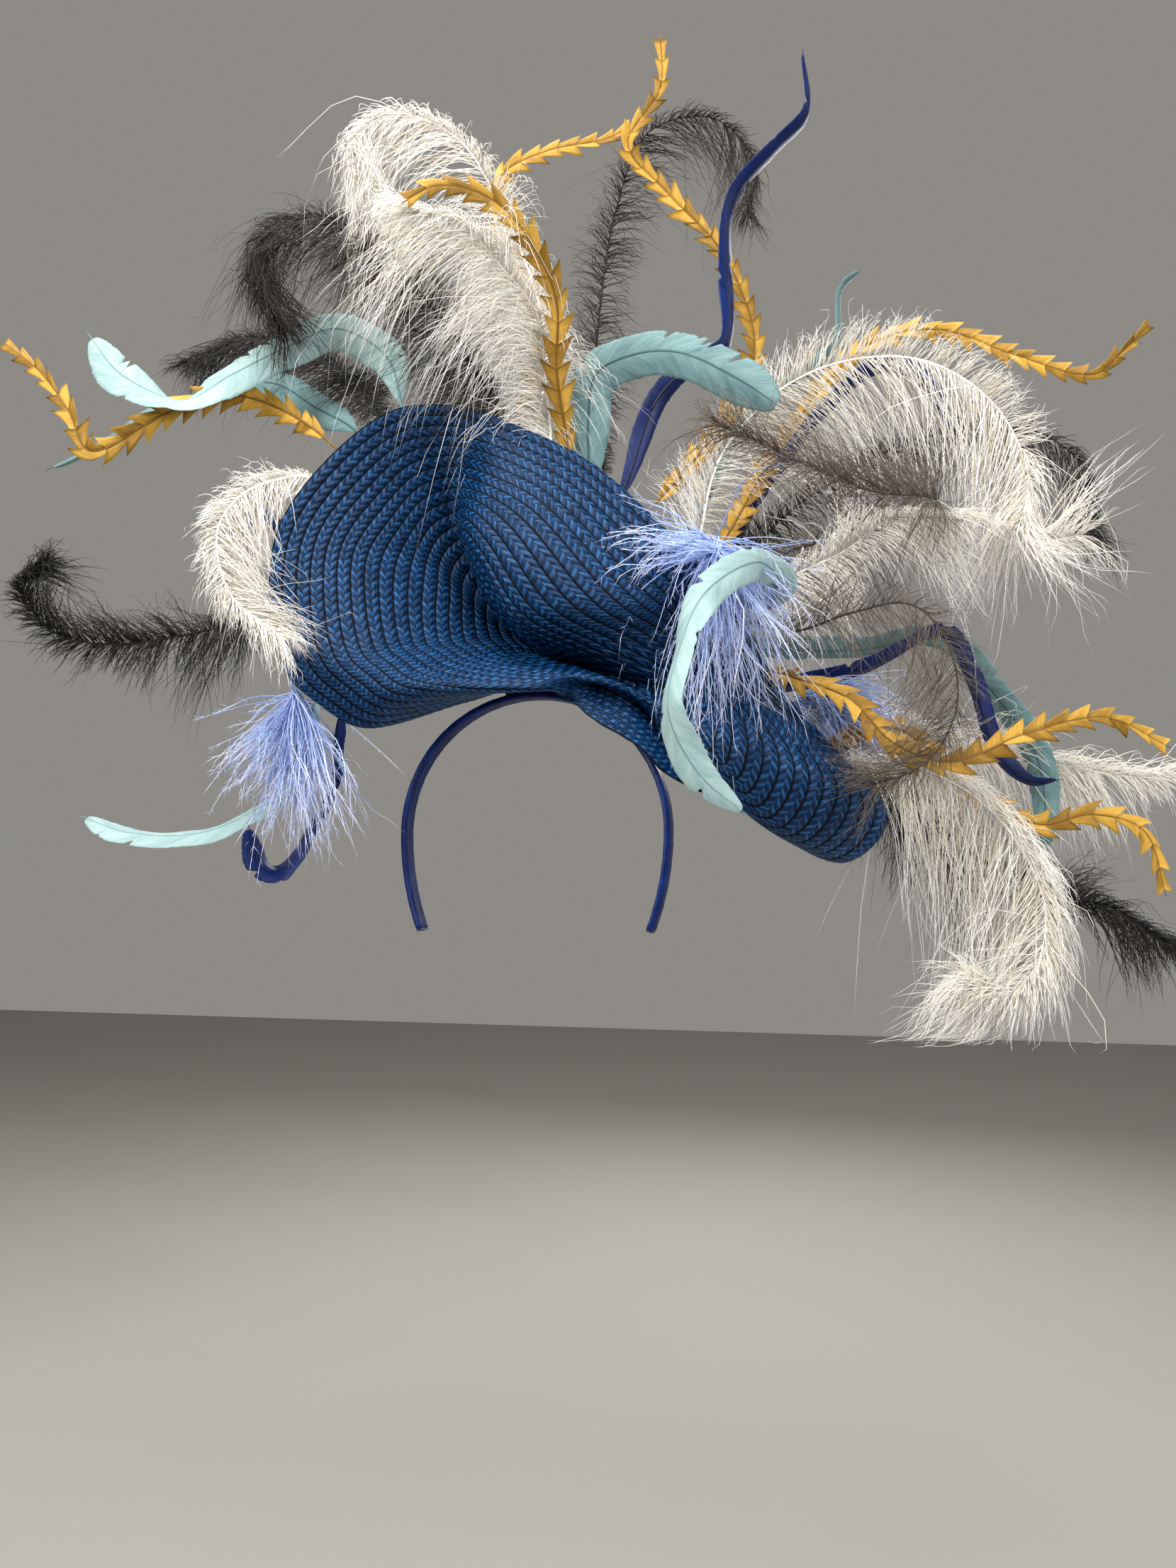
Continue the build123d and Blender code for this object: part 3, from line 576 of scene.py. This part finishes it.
# ---------------------------------------------------------------- the folded straw
ROWS = 22  # turns of braid from the centre to the rim
ROW_STEPS = 6
DISC_RADIUS = 178  # mm, before it was folded
PLAIT_PITCH = 5.4  # mm along a row
FRONT_AROUND, BACK_AROUND = 560, 280
BRAID_HALF = 1.0  # mm, half the braid's own thickness
DOME, SEAM = 0.5, -0.85  # mm, the middle of a row and the seam beside it
PLAIT_RELIEF = 0.28  # mm
FIRST_STEP = 3  # the innermost ring, in steps from the centre


def plaits_in(row):
    """Whole plaits round one row, so that the pattern meets itself."""
    return np.maximum(np.round((row + 0.5) / ROWS * 2 * math.pi * DISC_RADIUS / PLAIT_PITCH), 6)


def braid_side(around, steps, sign):
    """One side's vertices: rings of points, lifted to the rows' domes and the plaits."""
    angles = np.arange(around) * 360 / around
    radii = steps / (ROWS * ROW_STEPS)
    row = steps / ROW_STEPS
    within = row % 1
    dome = SEAM + (DOME - SEAM) * (1 - np.abs(2 * within - 1) ** 4)
    dome[-1] = SEAM
    share = np.arange(around) / around
    turns = share[None] * plaits_in(np.floor(row))[:, None]
    phase = turns + 1.5 * np.abs(within - 0.5)[:, None] + 0.5 * (within > 0.5)[:, None]
    relief = PLAIT_RELIEF * np.sin(2 * math.pi * phase) * np.sin(math.pi * within)[:, None]
    lift = BRAID_HALF + dome[:, None] + relief
    middle, back = braid(radii, angles), braid_normals(radii, angles)
    return turned(middle + back * (sign * lift)[..., None])


def straw_braid():
    front_steps = np.arange(FIRST_STEP, ROWS * ROW_STEPS + 1)
    back_steps = front_steps[front_steps % 2 == 0]
    front = braid_side(FRONT_AROUND, front_steps, -1)
    back = braid_side(BACK_AROUND, back_steps, 1)
    centres = [turned(np.array(DISC_CENTRE) + (0, side * BRAID_HALF, 0)) for side in (-1, 1)]
    vertices = [front.reshape(-1, 3), back.reshape(-1, 3), np.array(centres)]
    starts = (0, len(vertices[0]))
    faces, plaits = [], []

    def add_side(first, around, steps, inside_out):
        grid = first + np.arange(len(steps) * around).reshape(len(steps), around)
        after = np.roll(grid, -1, axis=1)
        turn = np.broadcast_to(np.arange(around) / around, grid[:-1].shape)
        low = np.broadcast_to(steps[:-1, None] / ROW_STEPS, grid[:-1].shape)
        high = np.broadcast_to(steps[1:, None] / ROW_STEPS, grid[:-1].shape)
        count = plaits_in(np.floor(low))
        quads = np.stack((grid[:-1], grid[1:], after[1:], after[:-1]), -1)
        high = np.minimum(high, np.floor(low) + 0.9999)
        u = np.stack((low, high, high, low), -1)
        v = np.stack((turn, turn, turn + 1 / around, turn + 1 / around), -1) * count[..., None]
        if inside_out:
            quads, u, v = quads[..., ::-1], u[..., ::-1], v[..., ::-1]
        faces.extend(quads.reshape(-1, 4).tolist())
        plaits.append(np.stack((u, v), -1).reshape(-1, 2))
        return grid

    front_grid = add_side(starts[0], FRONT_AROUND, front_steps, True)
    back_grid = add_side(starts[1], BACK_AROUND, back_steps, False)
    middle = starts[1] + back_grid.size
    for grid, centre, flip in ((front_grid, middle, True), (back_grid, middle + 1, False)):
        ring = grid[0]
        for near, far in zip(ring, np.roll(ring, -1)):
            corner = [centre, far, near] if flip else [centre, near, far]
            faces.append([int(k) for k in corner])
            plaits.append(np.array([(0.2, 0.1), (0.5, 0.4), (0.5, 0.2)]))
    outer, inner = front_grid[-1].tolist(), back_grid[-1].tolist()
    for i, near in enumerate(inner):
        far = inner[(i + 1) % BACK_AROUND]
        a, b, c = (outer[(2 * i + k) % FRONT_AROUND] for k in range(3))
        for corner in ((a, near, b), (b, far, c), (b, near, far)):
            faces.append(list(corner))
            plaits.append(np.array([(ROWS - 0.02, 0.3 * k) for k in range(3)]))
    mesh = bpy.data.meshes.new("straw_braid")
    mesh.from_pydata(np.concatenate(vertices).tolist(), [], faces)
    layer = mesh.uv_layers.new(name="plait")
    layer.data.foreach_set("uv", np.concatenate(plaits).astype(np.float32).ravel())
    mesh.polygons.foreach_set("use_smooth", [True] * len(mesh.polygons))
    piece = bpy.data.objects.new("straw_braid", mesh)
    bpy.context.scene.collection.objects.link(piece)
    return piece


# ---------------------------------------------------------------- the satin round the band
BAND_MIDDLE = 76.1  # mm, the radius of the band's middle line
BAND_HALF_THICK, BAND_HALF_WIDE = 2.1, 5.6  # mm, satin included
ARM_DROP, ARM_RADIUS = 55, 150
ARCH_STATIONS, ARM_STATIONS = 84, 40
SECTION_POINTS = 32
SQUARENESS = 0.45  # 1 would make the band's section round
WRAP_PITCH = 11.0  # mm between the turns of the ribbon
WRAP_STEP = 0.16  # mm, how far each turn stands proud of the last


def band_line():
    """The band's middle line, from the crown down to one tip, as places and directions."""
    arch = np.linspace(0, math.pi / 2, ARCH_STATIONS)
    x, z = BAND_MIDDLE * np.sin(arch), BAND_MIDDLE * np.cos(arch)
    sweep = math.asin(ARM_DROP / ARM_RADIUS) * np.linspace(0, 1, ARM_STATIONS)[1:]
    x = np.append(x, BAND_MIDDLE - ARM_RADIUS + ARM_RADIUS * np.cos(sweep))
    z = np.append(z, -ARM_RADIUS * np.sin(sweep))
    line = np.stack((x, np.zeros_like(x), z), 1)
    return line, unit(np.gradient(line, axis=0))


def satin_wrap(name, mirror):
    line, ahead = band_line()
    out = np.stack((-ahead[:, 2], ahead[:, 1], ahead[:, 0]), 1)
    travelled = np.cumsum([0, *np.linalg.norm(np.diff(line, axis=0), axis=1)])
    corner = np.linspace(0, 2 * math.pi, SECTION_POINTS, endpoint=False)
    a = np.sign(np.cos(corner)) * np.abs(np.cos(corner)) ** SQUARENESS
    b = np.sign(np.sin(corner)) * np.abs(np.sin(corner)) ** SQUARENESS
    wrap = ((travelled[:, None] + 4 * b[None] + 3 * a[None]) / WRAP_PITCH) % 1
    thick = BAND_HALF_THICK - WRAP_STEP * wrap**3
    round_off = np.sqrt(np.clip((travelled[-1] - travelled) / 1.2, 0.15, 1))[:, None]
    points = line[:, None] + out[:, None] * (a[None] * thick * round_off)[..., None]
    points[..., 1] += b[None] * (BAND_HALF_WIDE - 0.5 * WRAP_STEP * wrap) * round_off
    points = points * MM * (-1 if mirror else 1, 1, 1)
    groups = [tube_faces(len(line), SECTION_POINTS), *tube_ends(len(line), SECTION_POINTS)]
    if mirror:
        groups = [np.array(group)[:, ::-1] for group in groups]
    shape = Shape()
    along = np.repeat(travelled * MM, SECTION_POINTS)
    shape.add(points, groups, along=along, across=np.tile(b, len(line)))
    return shape.build(name)


# ---------------------------------------------------------------- ostrich plumes
DOWN = np.array((0, 0, -1.0))
BARB_STEPS = 7
BARE_RACHIS = 0.1  # the share of a rachis with no barbs on it
# For each colour: barbs, their length and radius in mm, and how far they droop.
PLUME_HABIT = {
    "white": dict(barbs=1000, length=46, radius=0.34, droop=0.5),
    "grey": dict(barbs=900, length=40, radius=0.26, droop=0.3),
    "brown": dict(barbs=1000, length=34, radius=0.34, droop=0.35),
    "dark": dict(barbs=1200, length=36, radius=0.36, droop=0.25),
}
# What single plumes do otherwise.
PLUME_OWN = {
    "plume_white_tall": dict(barbs=1400, length=47, droop=0.55),
    "plume_brown_hook": dict(barbs=1500, length=44),
    "plume_white_near": dict(barbs=1100, length=60, droop=0.8),
    "plume_white_right": dict(barbs=1500, length=54, droop=0.5),
    "plume_white_low": dict(barbs=1600, length=52, droop=0.7),
    "plume_white_left": dict(barbs=900, length=38, droop=0.3),
    "plume_grey_over": dict(barbs=950, length=64, droop=0.4, radius=0.24),
    "plume_grey_right": dict(barbs=760, length=54, droop=0.12, radius=0.22),
    "plume_grey_hook": dict(barbs=1200, length=38, radius=0.3),
}
STANDING = ("plume_white_right",)  # whose upper barbs stand up
FLYAWAY = 0.14  # the share of barbs that stand loose from the rest


def plume(name, rng):
    """A curled rachis with long soft barbs on both sides, longest inside the curl."""
    colour = name.split("_")[1]
    habit = {**PLUME_HABIT[colour], **PLUME_OWN.get(name, {})}
    spine = Spine(name)
    shape = Shape()
    rachis = (1.0 - 0.78 * spine.share) * MM
    pale = 0.9 if colour == "white" else 0.0
    add_tube(shape, spine.points, rachis, shade=np.full_like(rachis, pale), reach=0 * rachis)
    barbs = habit["barbs"]
    share = BARE_RACHIS + (1 - BARE_RACHIS) * rng.beta(1.0, 0.85, barbs)
    place, ahead, side, face = spine.at(share)
    hand = rng.choice((-1.0, 1.0), barbs)[:, None]
    bend = spine.at(share + 0.03)[1] - spine.at(share - 0.03)[1]
    inward = np.clip(np.sum(bend * side * hand, 1) * 4, -0.4, 0.5)
    open_angle = np.radians(62 - 34 * share**2 + rng.normal(0, 9, barbs))[:, None]
    lift = rng.normal(0, 0.33, barbs)[:, None]
    start = unit(ahead * np.cos(open_angle) + side * hand * np.sin(open_angle) + face * lift)
    grown = np.interp(share, (BARE_RACHIS, 0.3, 0.8, 1), (0.35, 1, 1, 0.62))
    length = habit["length"] * MM * grown * (1 + inward) * rng.uniform(0.65, 1.1, barbs)
    loose = rng.uniform(0, 1, barbs) < FLYAWAY
    length = length * np.where(loose, rng.uniform(1.1, 1.5, barbs), 1)
    start = np.where(loose[:, None], unit(start + rng.normal(0, 0.4, start.shape)), start)
    droop = habit["droop"] * rng.uniform(0.5, 1.3, barbs)
    if name in STANDING:
        upper = (side * hand[:, 0:1])[:, 2] > 0.3
        droop = np.where(upper, 0.05, droop)
        start = np.where(upper[:, None], unit(start - 0.5 * DOWN), start)
        length = length * np.where(upper & (share < 0.6), 1.25, 1)
    t = np.linspace(0, 1, BARB_STEPS)[None, :, None]
    curl = unit(rng.normal(0, 1, (barbs, 3))) * rng.uniform(0.05, 0.22, barbs)[:, None]
    swing = np.sin(t * math.pi * rng.uniform(1.1, 2.4, barbs)[:, None, None])
    path = start[:, None] * (t - 0.22 * t**2) + DOWN * (droop[:, None, None] * t**2.2)
    path = path + curl[:, None] * swing * t + bend[:, None] * 0.35 * t**2
    centres = place[:, None] + path * length[:, None, None]
    radius = habit["radius"] * MM * rng.uniform(0.7, 1.1, barbs) * np.where(loose, 0.75, 1)
    add_hairs(shape, inside_box(centres), radius, rng.uniform(0, 1, barbs))
    return shape.build(name)


# ---------------------------------------------------------------- marabou tufts
# For each tuft, the ways its strands fan from the knot, in the trim's own frame: direction,
# share of the strands, and their length in mm.
TUFTS = {
    "marabou_right": [
        ((0.02, -0.3, -0.9), 0.6, 108), ((-0.8, -0.35, 0.05), 0.16, 84),
        ((0.6, -0.4, -0.4), 0.24, 76)
    ],
    "marabou_left": [((0.15, -0.2, -0.9), 0.72, 70), ((-0.6, -0.3, -0.6), 0.28, 60)],
    "marabou_low": [((0.8, -0.2, -0.35), 1.0, 60)],
}
STEM_SAMPLES = 60  # how much of the spine shows as a stem
STRANDS = 420
STRAND_STEPS = 9
FUZZ_EACH = 9
FUZZ_LENGTH = 5.5  # mm


def marabou(name, rng):
    """A tied tuft of long soft strands, each with a fuzz of its own towards the tip."""
    spine = Spine(name)
    shape = Shape()
    stem = spine.points[:STEM_SAMPLES]
    stem_radius = np.linspace(1.0, 1.6, STEM_SAMPLES) * MM
    zero = np.zeros(STEM_SAMPLES)
    add_tube(shape, stem, stem_radius, shade=zero + 0.3, reach=zero)
    aims, shares, lengths = zip(*TUFTS[name])
    pick = rng.choice(len(aims), STRANDS, p=shares)
    aim = (turned(np.array(aims)) - turned((0, 0, 0)))[pick] / MM
    aim = unit(unit(aim) + rng.normal(0, 0.3, (STRANDS, 3)))
    length = np.array(lengths)[pick] * MM * rng.uniform(0.45, 1.15, STRANDS)
    knot = spine.at(rng.uniform(0.28, 0.48, STRANDS))[0] + rng.normal(0, 1.6 * MM, (STRANDS, 3))
    t = np.linspace(0, 1, STRAND_STEPS)[None, :, None]
    droop = rng.uniform(0.1, 0.45, STRANDS)[:, None, None]
    wander = unit(rng.normal(0, 1, (STRANDS, 3)))[:, None] * 0.12
    swing = np.sin(t * math.pi * rng.uniform(1, 2.6, STRANDS)[:, None, None])
    path = aim[:, None] * (t - 0.15 * t**2) + DOWN * droop * t**2 + wander * swing * t
    centres = inside_box(knot[:, None] + path * length[:, None, None])
    shade = rng.uniform(0, 1, STRANDS)
    add_hairs(shape, centres, rng.uniform(0.3, 0.55, STRANDS) * MM, shade)
    which = np.repeat(np.arange(STRANDS), FUZZ_EACH)
    spot = rng.uniform(0.25, 0.97, len(which)) * (STRAND_STEPS - 1)
    low = np.floor(spot).astype(int)
    part = (spot - low)[:, None]
    root = centres[which, low] * (1 - part) + centres[which, low + 1] * part
    forward = unit(centres[which, low + 1] - centres[which, low])
    away = unit(forward + 0.8 * unit(rng.normal(0, 1, forward.shape)))
    t = np.linspace(0, 1, 3)[None, :, None]
    size = FUZZ_LENGTH * MM * rng.uniform(0.5, 1.2, len(which))[:, None, None]
    fuzz = root[:, None] + away[:, None] * t * size + DOWN * (0.15 * t**2 * size)
    add_hairs(shape, fuzz, np.full(len(which), 0.16 * MM), shade[which])
    return shape.build(name)


# ---------------------------------------------------------------- coque feathers
# How each flat feather turns about its quill along its length: (share, degrees).
TWISTS = {
    "coque_aqua_front": ((0, 0), (0.3, 0), (0.52, 8), (0.64, 64), (0.76, 62), (0.88, 10), (1, 0)),
    "coque_aqua_top": ((0, 0), (0.6, 5), (1, 30)),
    "coque_aqua_upper": ((0, 0), (0.45, 8), (0.64, 20), (0.74, 66), (0.85, 22), (1, 0)),
    "coque_aqua_lower": ((0, 0), (0.4, 5), (0.6, 55), (0.8, 65), (1, 70)),
    "coque_aqua_tail": ((0, 40), (0.6, 55), (0.85, 62), (1, 35)),
    "coque_aqua_right": ((0, 30), (0.4, 60), (0.7, 50), (1, 30)),
    "coque_aqua_tip": ((0, 20), (0.5, 55), (1, 60)),
    "coque_navy_top": ((0, 0), (0.3, 15), (0.45, 60), (0.56, 35), (0.7, 60), (0.85, 72), (1, 50)),
    "coque_navy_left": ((0, 30), (1, 50)),
    "coque_navy_loop": ((0, 50), (0.5, 60), (1, 40)),
    "coque_navy_right": ((0, 0), (0.5, 50), (1, 60)),
    "coque_navy_low": ((0, 30), (0.5, 60), (1, 60)),
}
COQUE_HALF = {"aqua": 10.5, "navy": 6.5}  # mm, half the width of the vane
COQUE_OWN = {
    "coque_aqua_top": 13.0, "coque_aqua_upper": 12.5, "coque_aqua_front": 9.5, "coque_aqua_tail": 9.0,
    "coque_aqua_right": 9.0, "coque_aqua_tip": 6.0, "coque_navy_loop": 8.0,
}
VANE_ROWS, VANE_COLUMNS = 150, 15
VANE_HALF_THICK = 0.28  # mm
SPLITS = 7  # places where the barbs part at the vane's edges
CUP = 0.28  # how deeply the vane is cupped, as a share of its half-width
BARE = 0.1  # the share of the quill with no vane on it


def coque(name, rng):
    """One soft flat feather: a cupped vane of close barbs, split here and there."""
    colour = name.split("_")[1]
    half = COQUE_OWN.get(name, COQUE_HALF[colour]) * MM
    spine = Spine(name, twist=TWISTS[name])
    shape = Shape()
    share = np.linspace(BARE, 1, VANE_ROWS)
    column = np.linspace(-1, 1, VANE_COLUMNS)
    grown = np.clip((share - BARE) / 0.13, 0.02, 1) ** 0.6
    closed = np.sqrt(np.clip((1 - share) / 0.14, 0.0004, 1))
    ragged = np.ones((VANE_ROWS, 2))
    for _ in range(SPLITS):
        edge, at = rng.integers(2), rng.integers(12, VANE_ROWS - 4)
        depth = rng.uniform(0.12, 0.5)
        ragged[at, edge] -= depth
        ragged[at - 1, edge] -= depth * 0.45
    ragged += rng.normal(0, 0.018, ragged.shape)
    wide = half * (grown * closed)[:, None] * np.where(column < 0, ragged[:, :1], ragged[:, 1:])
    reach = np.abs(column) * wide * 0.75 / spine.length
    place, ahead, side, face = spine.at(share[:, None] + reach - 0.5 * half / spine.length)
    wave = 0.05 * np.sin(share * 41 + rng.uniform(0, 6))[:, None] * np.abs(column)
    rise = (CUP * column**2 + wave) * wide
    middle = place + side * (column * wide)[..., None] + face * rise[..., None]
    thin = VANE_HALF_THICK * MM * (1 - 0.75 * np.abs(column) ** 3)
    front, back = middle - face * thin[:, None], middle + face * thin[:, None]
    section = np.concatenate((front, back[:, ::-1]), 1)
    around = section.shape[1]
    faces = tube_faces(VANE_ROWS, around)
    ends = sheet_ends(VANE_ROWS, VANE_COLUMNS)
    across = np.concatenate((column, column[::-1]))
    along = np.broadcast_to((share * spine.length)[:, None], (VANE_ROWS, around))
    shade = np.concatenate((np.full(VANE_COLUMNS, 0.55), np.full(VANE_COLUMNS, 0.95)))
    shape.add(section, [faces, ends], along=along, across=np.tile(across, VANE_ROWS),
              shade=np.tile(shade, VANE_ROWS))
    quill = (0.95 - 0.75 * spine.share) * MM
    zero = np.zeros_like(quill)
    add_tube(shape, spine.points, quill, along=zero, across=zero, shade=zero + 0.5)
    return shape.build(name)


# ---------------------------------------------------------------- arrow-cut feathers
ARROW_HALF = 10.0  # mm, from the quill to a tooth's point
TOOTH_PITCH = 12.0  # mm
TOOTH_ROWS, TOOTH_COLUMNS = 6, 4
TOOTH_LEAN = 0.55  # how far a tooth's barbs lean towards the tip, for each mm outwards
TOOTH_HALF_THICK = 0.22  # mm
TOOTH_FOOT = 0.34  # a tooth's width where it starts, as a share of its width at the point
BARE_ARROW = 0.16  # the share of the quill with no teeth on it


def arrow(name, rng):
    """A feather whose vane is cut into a row of pointed teeth down both sides."""
    spine = Spine(name, twist=((0, 0), (0.5, rng.uniform(-20, 20)), (1, rng.uniform(-35, 35))))
    shape = Shape()
    quill = (0.9 - 0.6 * spine.share) * MM
    zero = np.zeros_like(quill)
    add_tube(shape, spine.points, quill, along=zero, across=zero, shade=zero + 0.1)
    begin = BARE_ARROW * spine.length
    teeth = int((spine.length - begin) / (TOOTH_PITCH * MM))
    pitch = (spine.length - begin) / teeth
    f = np.linspace(0, 1, TOOTH_ROWS)[:, None]
    c = np.linspace(0, 1, TOOTH_COLUMNS)[None]
    widening = TOOTH_FOOT + (1 - TOOTH_FOOT) * f
    for k in range(teeth):
        size = np.interp((k + 0.5) / teeth, (0, 0.15, 0.7, 1), (0.7, 1, 0.9, 0.45))
        for hand in (-1.0, 1.0):
            wide = ARROW_HALF * MM * size * rng.uniform(0.85, 1.12) * widening
            out = c * wide
            start = begin + k * pitch + pitch * f * 1.04 + out * TOOTH_LEAN - 0.35 * pitch
            place, ahead, side, face = spine.at(start / spine.length)
            fold = math.radians(rng.uniform(-24, 14) + (10 if k % 2 else -8))
            rise = out * math.sin(fold) + 0.22 * out**2 / (ARROW_HALF * MM)
            middle = place + side * (hand * out * math.cos(fold))[..., None]
            middle = middle + face * rise[..., None]
            thin = TOOTH_HALF_THICK * MM
            rows = np.concatenate((middle - face * thin, (middle + face * thin)[:, ::-1]), 1)
            faces = tube_faces(TOOTH_ROWS, 2 * TOOTH_COLUMNS)
            ends = sheet_ends(TOOTH_ROWS, TOOTH_COLUMNS)
            if hand < 0:
                faces, ends = faces[:, ::-1], [end[::-1] for end in ends]
            out_share = np.broadcast_to(c * 0.9 + 0.1, middle.shape[:2])
            across = np.concatenate((out_share, out_share[:, ::-1]), 1)
            along = np.concatenate((start, start[:, ::-1]), 1)
            shape.add(rows, [faces, ends], along=along, across=across, shade=rng.uniform(0, 1))
    return shape.build(name)


# ---------------------------------------------------------------- the camera, first
LENS, SENSOR = 26.86, 36  # mm
CAMERA_PLACE = (0.1972, -0.6201, -0.035)
CAMERA_TILT = math.radians(95.4)  # 90 degrees would look level
FLOOR_SIZE, FLOOR_CELLS = 6.0, 24
FLOOR_DROP = 0.36  # how far the floor lies below the headpiece


def make_camera():
    data = bpy.data.cameras.new("camera")
    data.lens, data.sensor_width = LENS, SENSOR
    camera = bpy.data.objects.new("camera", data)
    camera.location = CAMERA_PLACE
    camera.rotation_euler = (CAMERA_TILT, 0, TRIM_YAW)
    bpy.context.scene.collection.objects.link(camera)
    bpy.context.scene.camera = camera


def add_light(name, place, target, size, power, tint):
    data = bpy.data.lights.new(name, "AREA")
    data.shape, data.size, data.energy, data.color = "DISK", size, power, tint
    light = bpy.data.objects.new(name, data)
    light.location = place
    aim = Vector(target) - Vector(place)
    light.rotation_euler = aim.to_track_quat("-Z", "Y").to_euler()
    bpy.context.scene.collection.objects.link(light)


def make_room():
    """A pale floor, a soft grey world and soft studio lights."""
    line = np.linspace(-FLOOR_SIZE / 2, FLOOR_SIZE / 2, FLOOR_CELLS + 1)
    x, y = np.meshgrid(line, line)
    floor_level = cad_box[0].z - FLOOR_DROP
    points = np.stack((x, y, np.full_like(x, floor_level)), -1).reshape(-1, 3)
    grid = np.arange(x.size).reshape(x.shape)
    quads = np.stack((grid[:-1, :-1], grid[:-1, 1:], grid[1:, 1:], grid[1:, :-1]), -1)
    shape = Shape()
    shape.add(points, [quads.reshape(-1, 4)])
    floor = shape.build("floor")
    f = Finish("pale_floor")
    cloud = f.noise(f.place(), 3.0)
    colour = f.mix(f.spread(cloud, 0.3, 0.7), "9a9792", "9c9994")
    floor.data.materials.append(f.done(colour, f.spread(cloud, 0.3, 0.7, 0.7, 0.85)))
    world = bpy.data.worlds.new("studio")
    world.use_nodes = True
    backdrop = world.node_tree.nodes["Background"]
    backdrop.inputs[0].default_value = linear("a19e99")
    backdrop.inputs[1].default_value = 0.75
    bpy.context.scene.world = world
    middle = (0.03, 0.0, 0.12)
    add_light("overhead", (0.1, -0.35, 1.25), middle, 1.0, 21, (1.0, 0.985, 0.96))
    add_light("key", (-0.75, -1.0, 0.75), middle, 0.7, 20, (1.0, 0.99, 0.97))
    add_light("fill", (1.05, -0.85, 0.3), middle, 0.9, 12, (0.95, 0.97, 1.0))
    add_light("back", (0.1, 1.1, 0.7), middle, 0.9, 13, (1.0, 1.0, 1.0))
    bpy.context.scene.view_settings.view_transform = "Standard"


make_camera()
make_room()

# ---------------------------------------------------------------- the pieces
straw = straw_braid()
straw.data.materials.append(straw_finish())
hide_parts("braid_disc", "edge_wire")
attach(straw, "crown")

satin = satin_finish()
for hand, mirror in (("left", False), ("right", True)):
    wrap = satin_wrap("satin_wrap_" + hand, mirror)
    wrap.data.materials.append(satin)
    covers = ["satin_cover_" + hand] + ([] if mirror else ["satin_cover_crown"])
    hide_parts(*covers)
    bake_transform(wrap)

FIRST_SEED = 4100
FEATHER_FINISHES = {
    "plume_white": hair_finish("ostrich_white", "eadfcb", "fffdf8", "ffffff"),
    "plume_grey": hair_finish("ostrich_grey", "33291f", "6d5f50", "9d8d7b", 0.8, 0.1),
    "plume_brown": hair_finish("ostrich_brown", "110c09", "33281f", "6f6050", 0.9, 0.04),
    "plume_dark": hair_finish("ostrich_dark", "0d0a08", "2c241d", "6f6152", 0.9, 0.04),
    "marabou": hair_finish("marabou_blue", "90aef0", "bccffb", "f6f4ff", 0.5),
    "coque_aqua": vane_finish("coque_aqua", "3d6469", "7a9b9b", "27474f", 0.45, 0.08),
    "coque_mint": vane_finish("coque_mint", "7c9fa0", "abc5c3", "5f8688", 0.45, 0.08),
    "coque_navy": vane_finish("coque_navy", "000d36", "002266", "00061e", 0.36, 0.0),
    "arrow_gold": vane_finish("arrow_gold", "866010", "cfa03c", "6b4a0c", 0.5, 0.05),
}
# The feathers whose finish isn't the one their names give.
LOOKS = {
    "coque_aqua_upper": "coque_mint", "coque_aqua_front": "coque_mint",
    "coque_aqua_tail": "coque_mint",
    "plume_grey_hook": "plume_brown", "plume_grey_behind": "plume_brown",
}
MAKERS = {"plume": plume, "coque": coque, "arrow": arrow, "marabou": marabou}
for number, name in enumerate(FEATHERS):
    rng = np.random.default_rng(FIRST_SEED + number)
    kind = name.split("_")[0]
    look = LOOKS.get(name, kind if kind == "marabou" else "_".join(name.split("_")[:2]))
    feather = MAKERS[kind](name, rng)
    feather.name = name + "_feather"
    feather.data.materials.append(FEATHER_FINISHES[look])
    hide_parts(name)
    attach(feather, "crown")

# The CAD parts that stay in sight keep their shapes and get finishes of their own.
CAD_FINISHES = {"headband": core_finish(), "crown": felt_finish(), "tacking": thread_finish()}
CAD_FINISHES["felt"] = CAD_FINISHES["crown"]
for name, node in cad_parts.items():
    finish = CAD_FINISHES.get(name.split("_")[0])
    if finish:
        node.data.materials.clear()
        node.data.materials.append(finish)
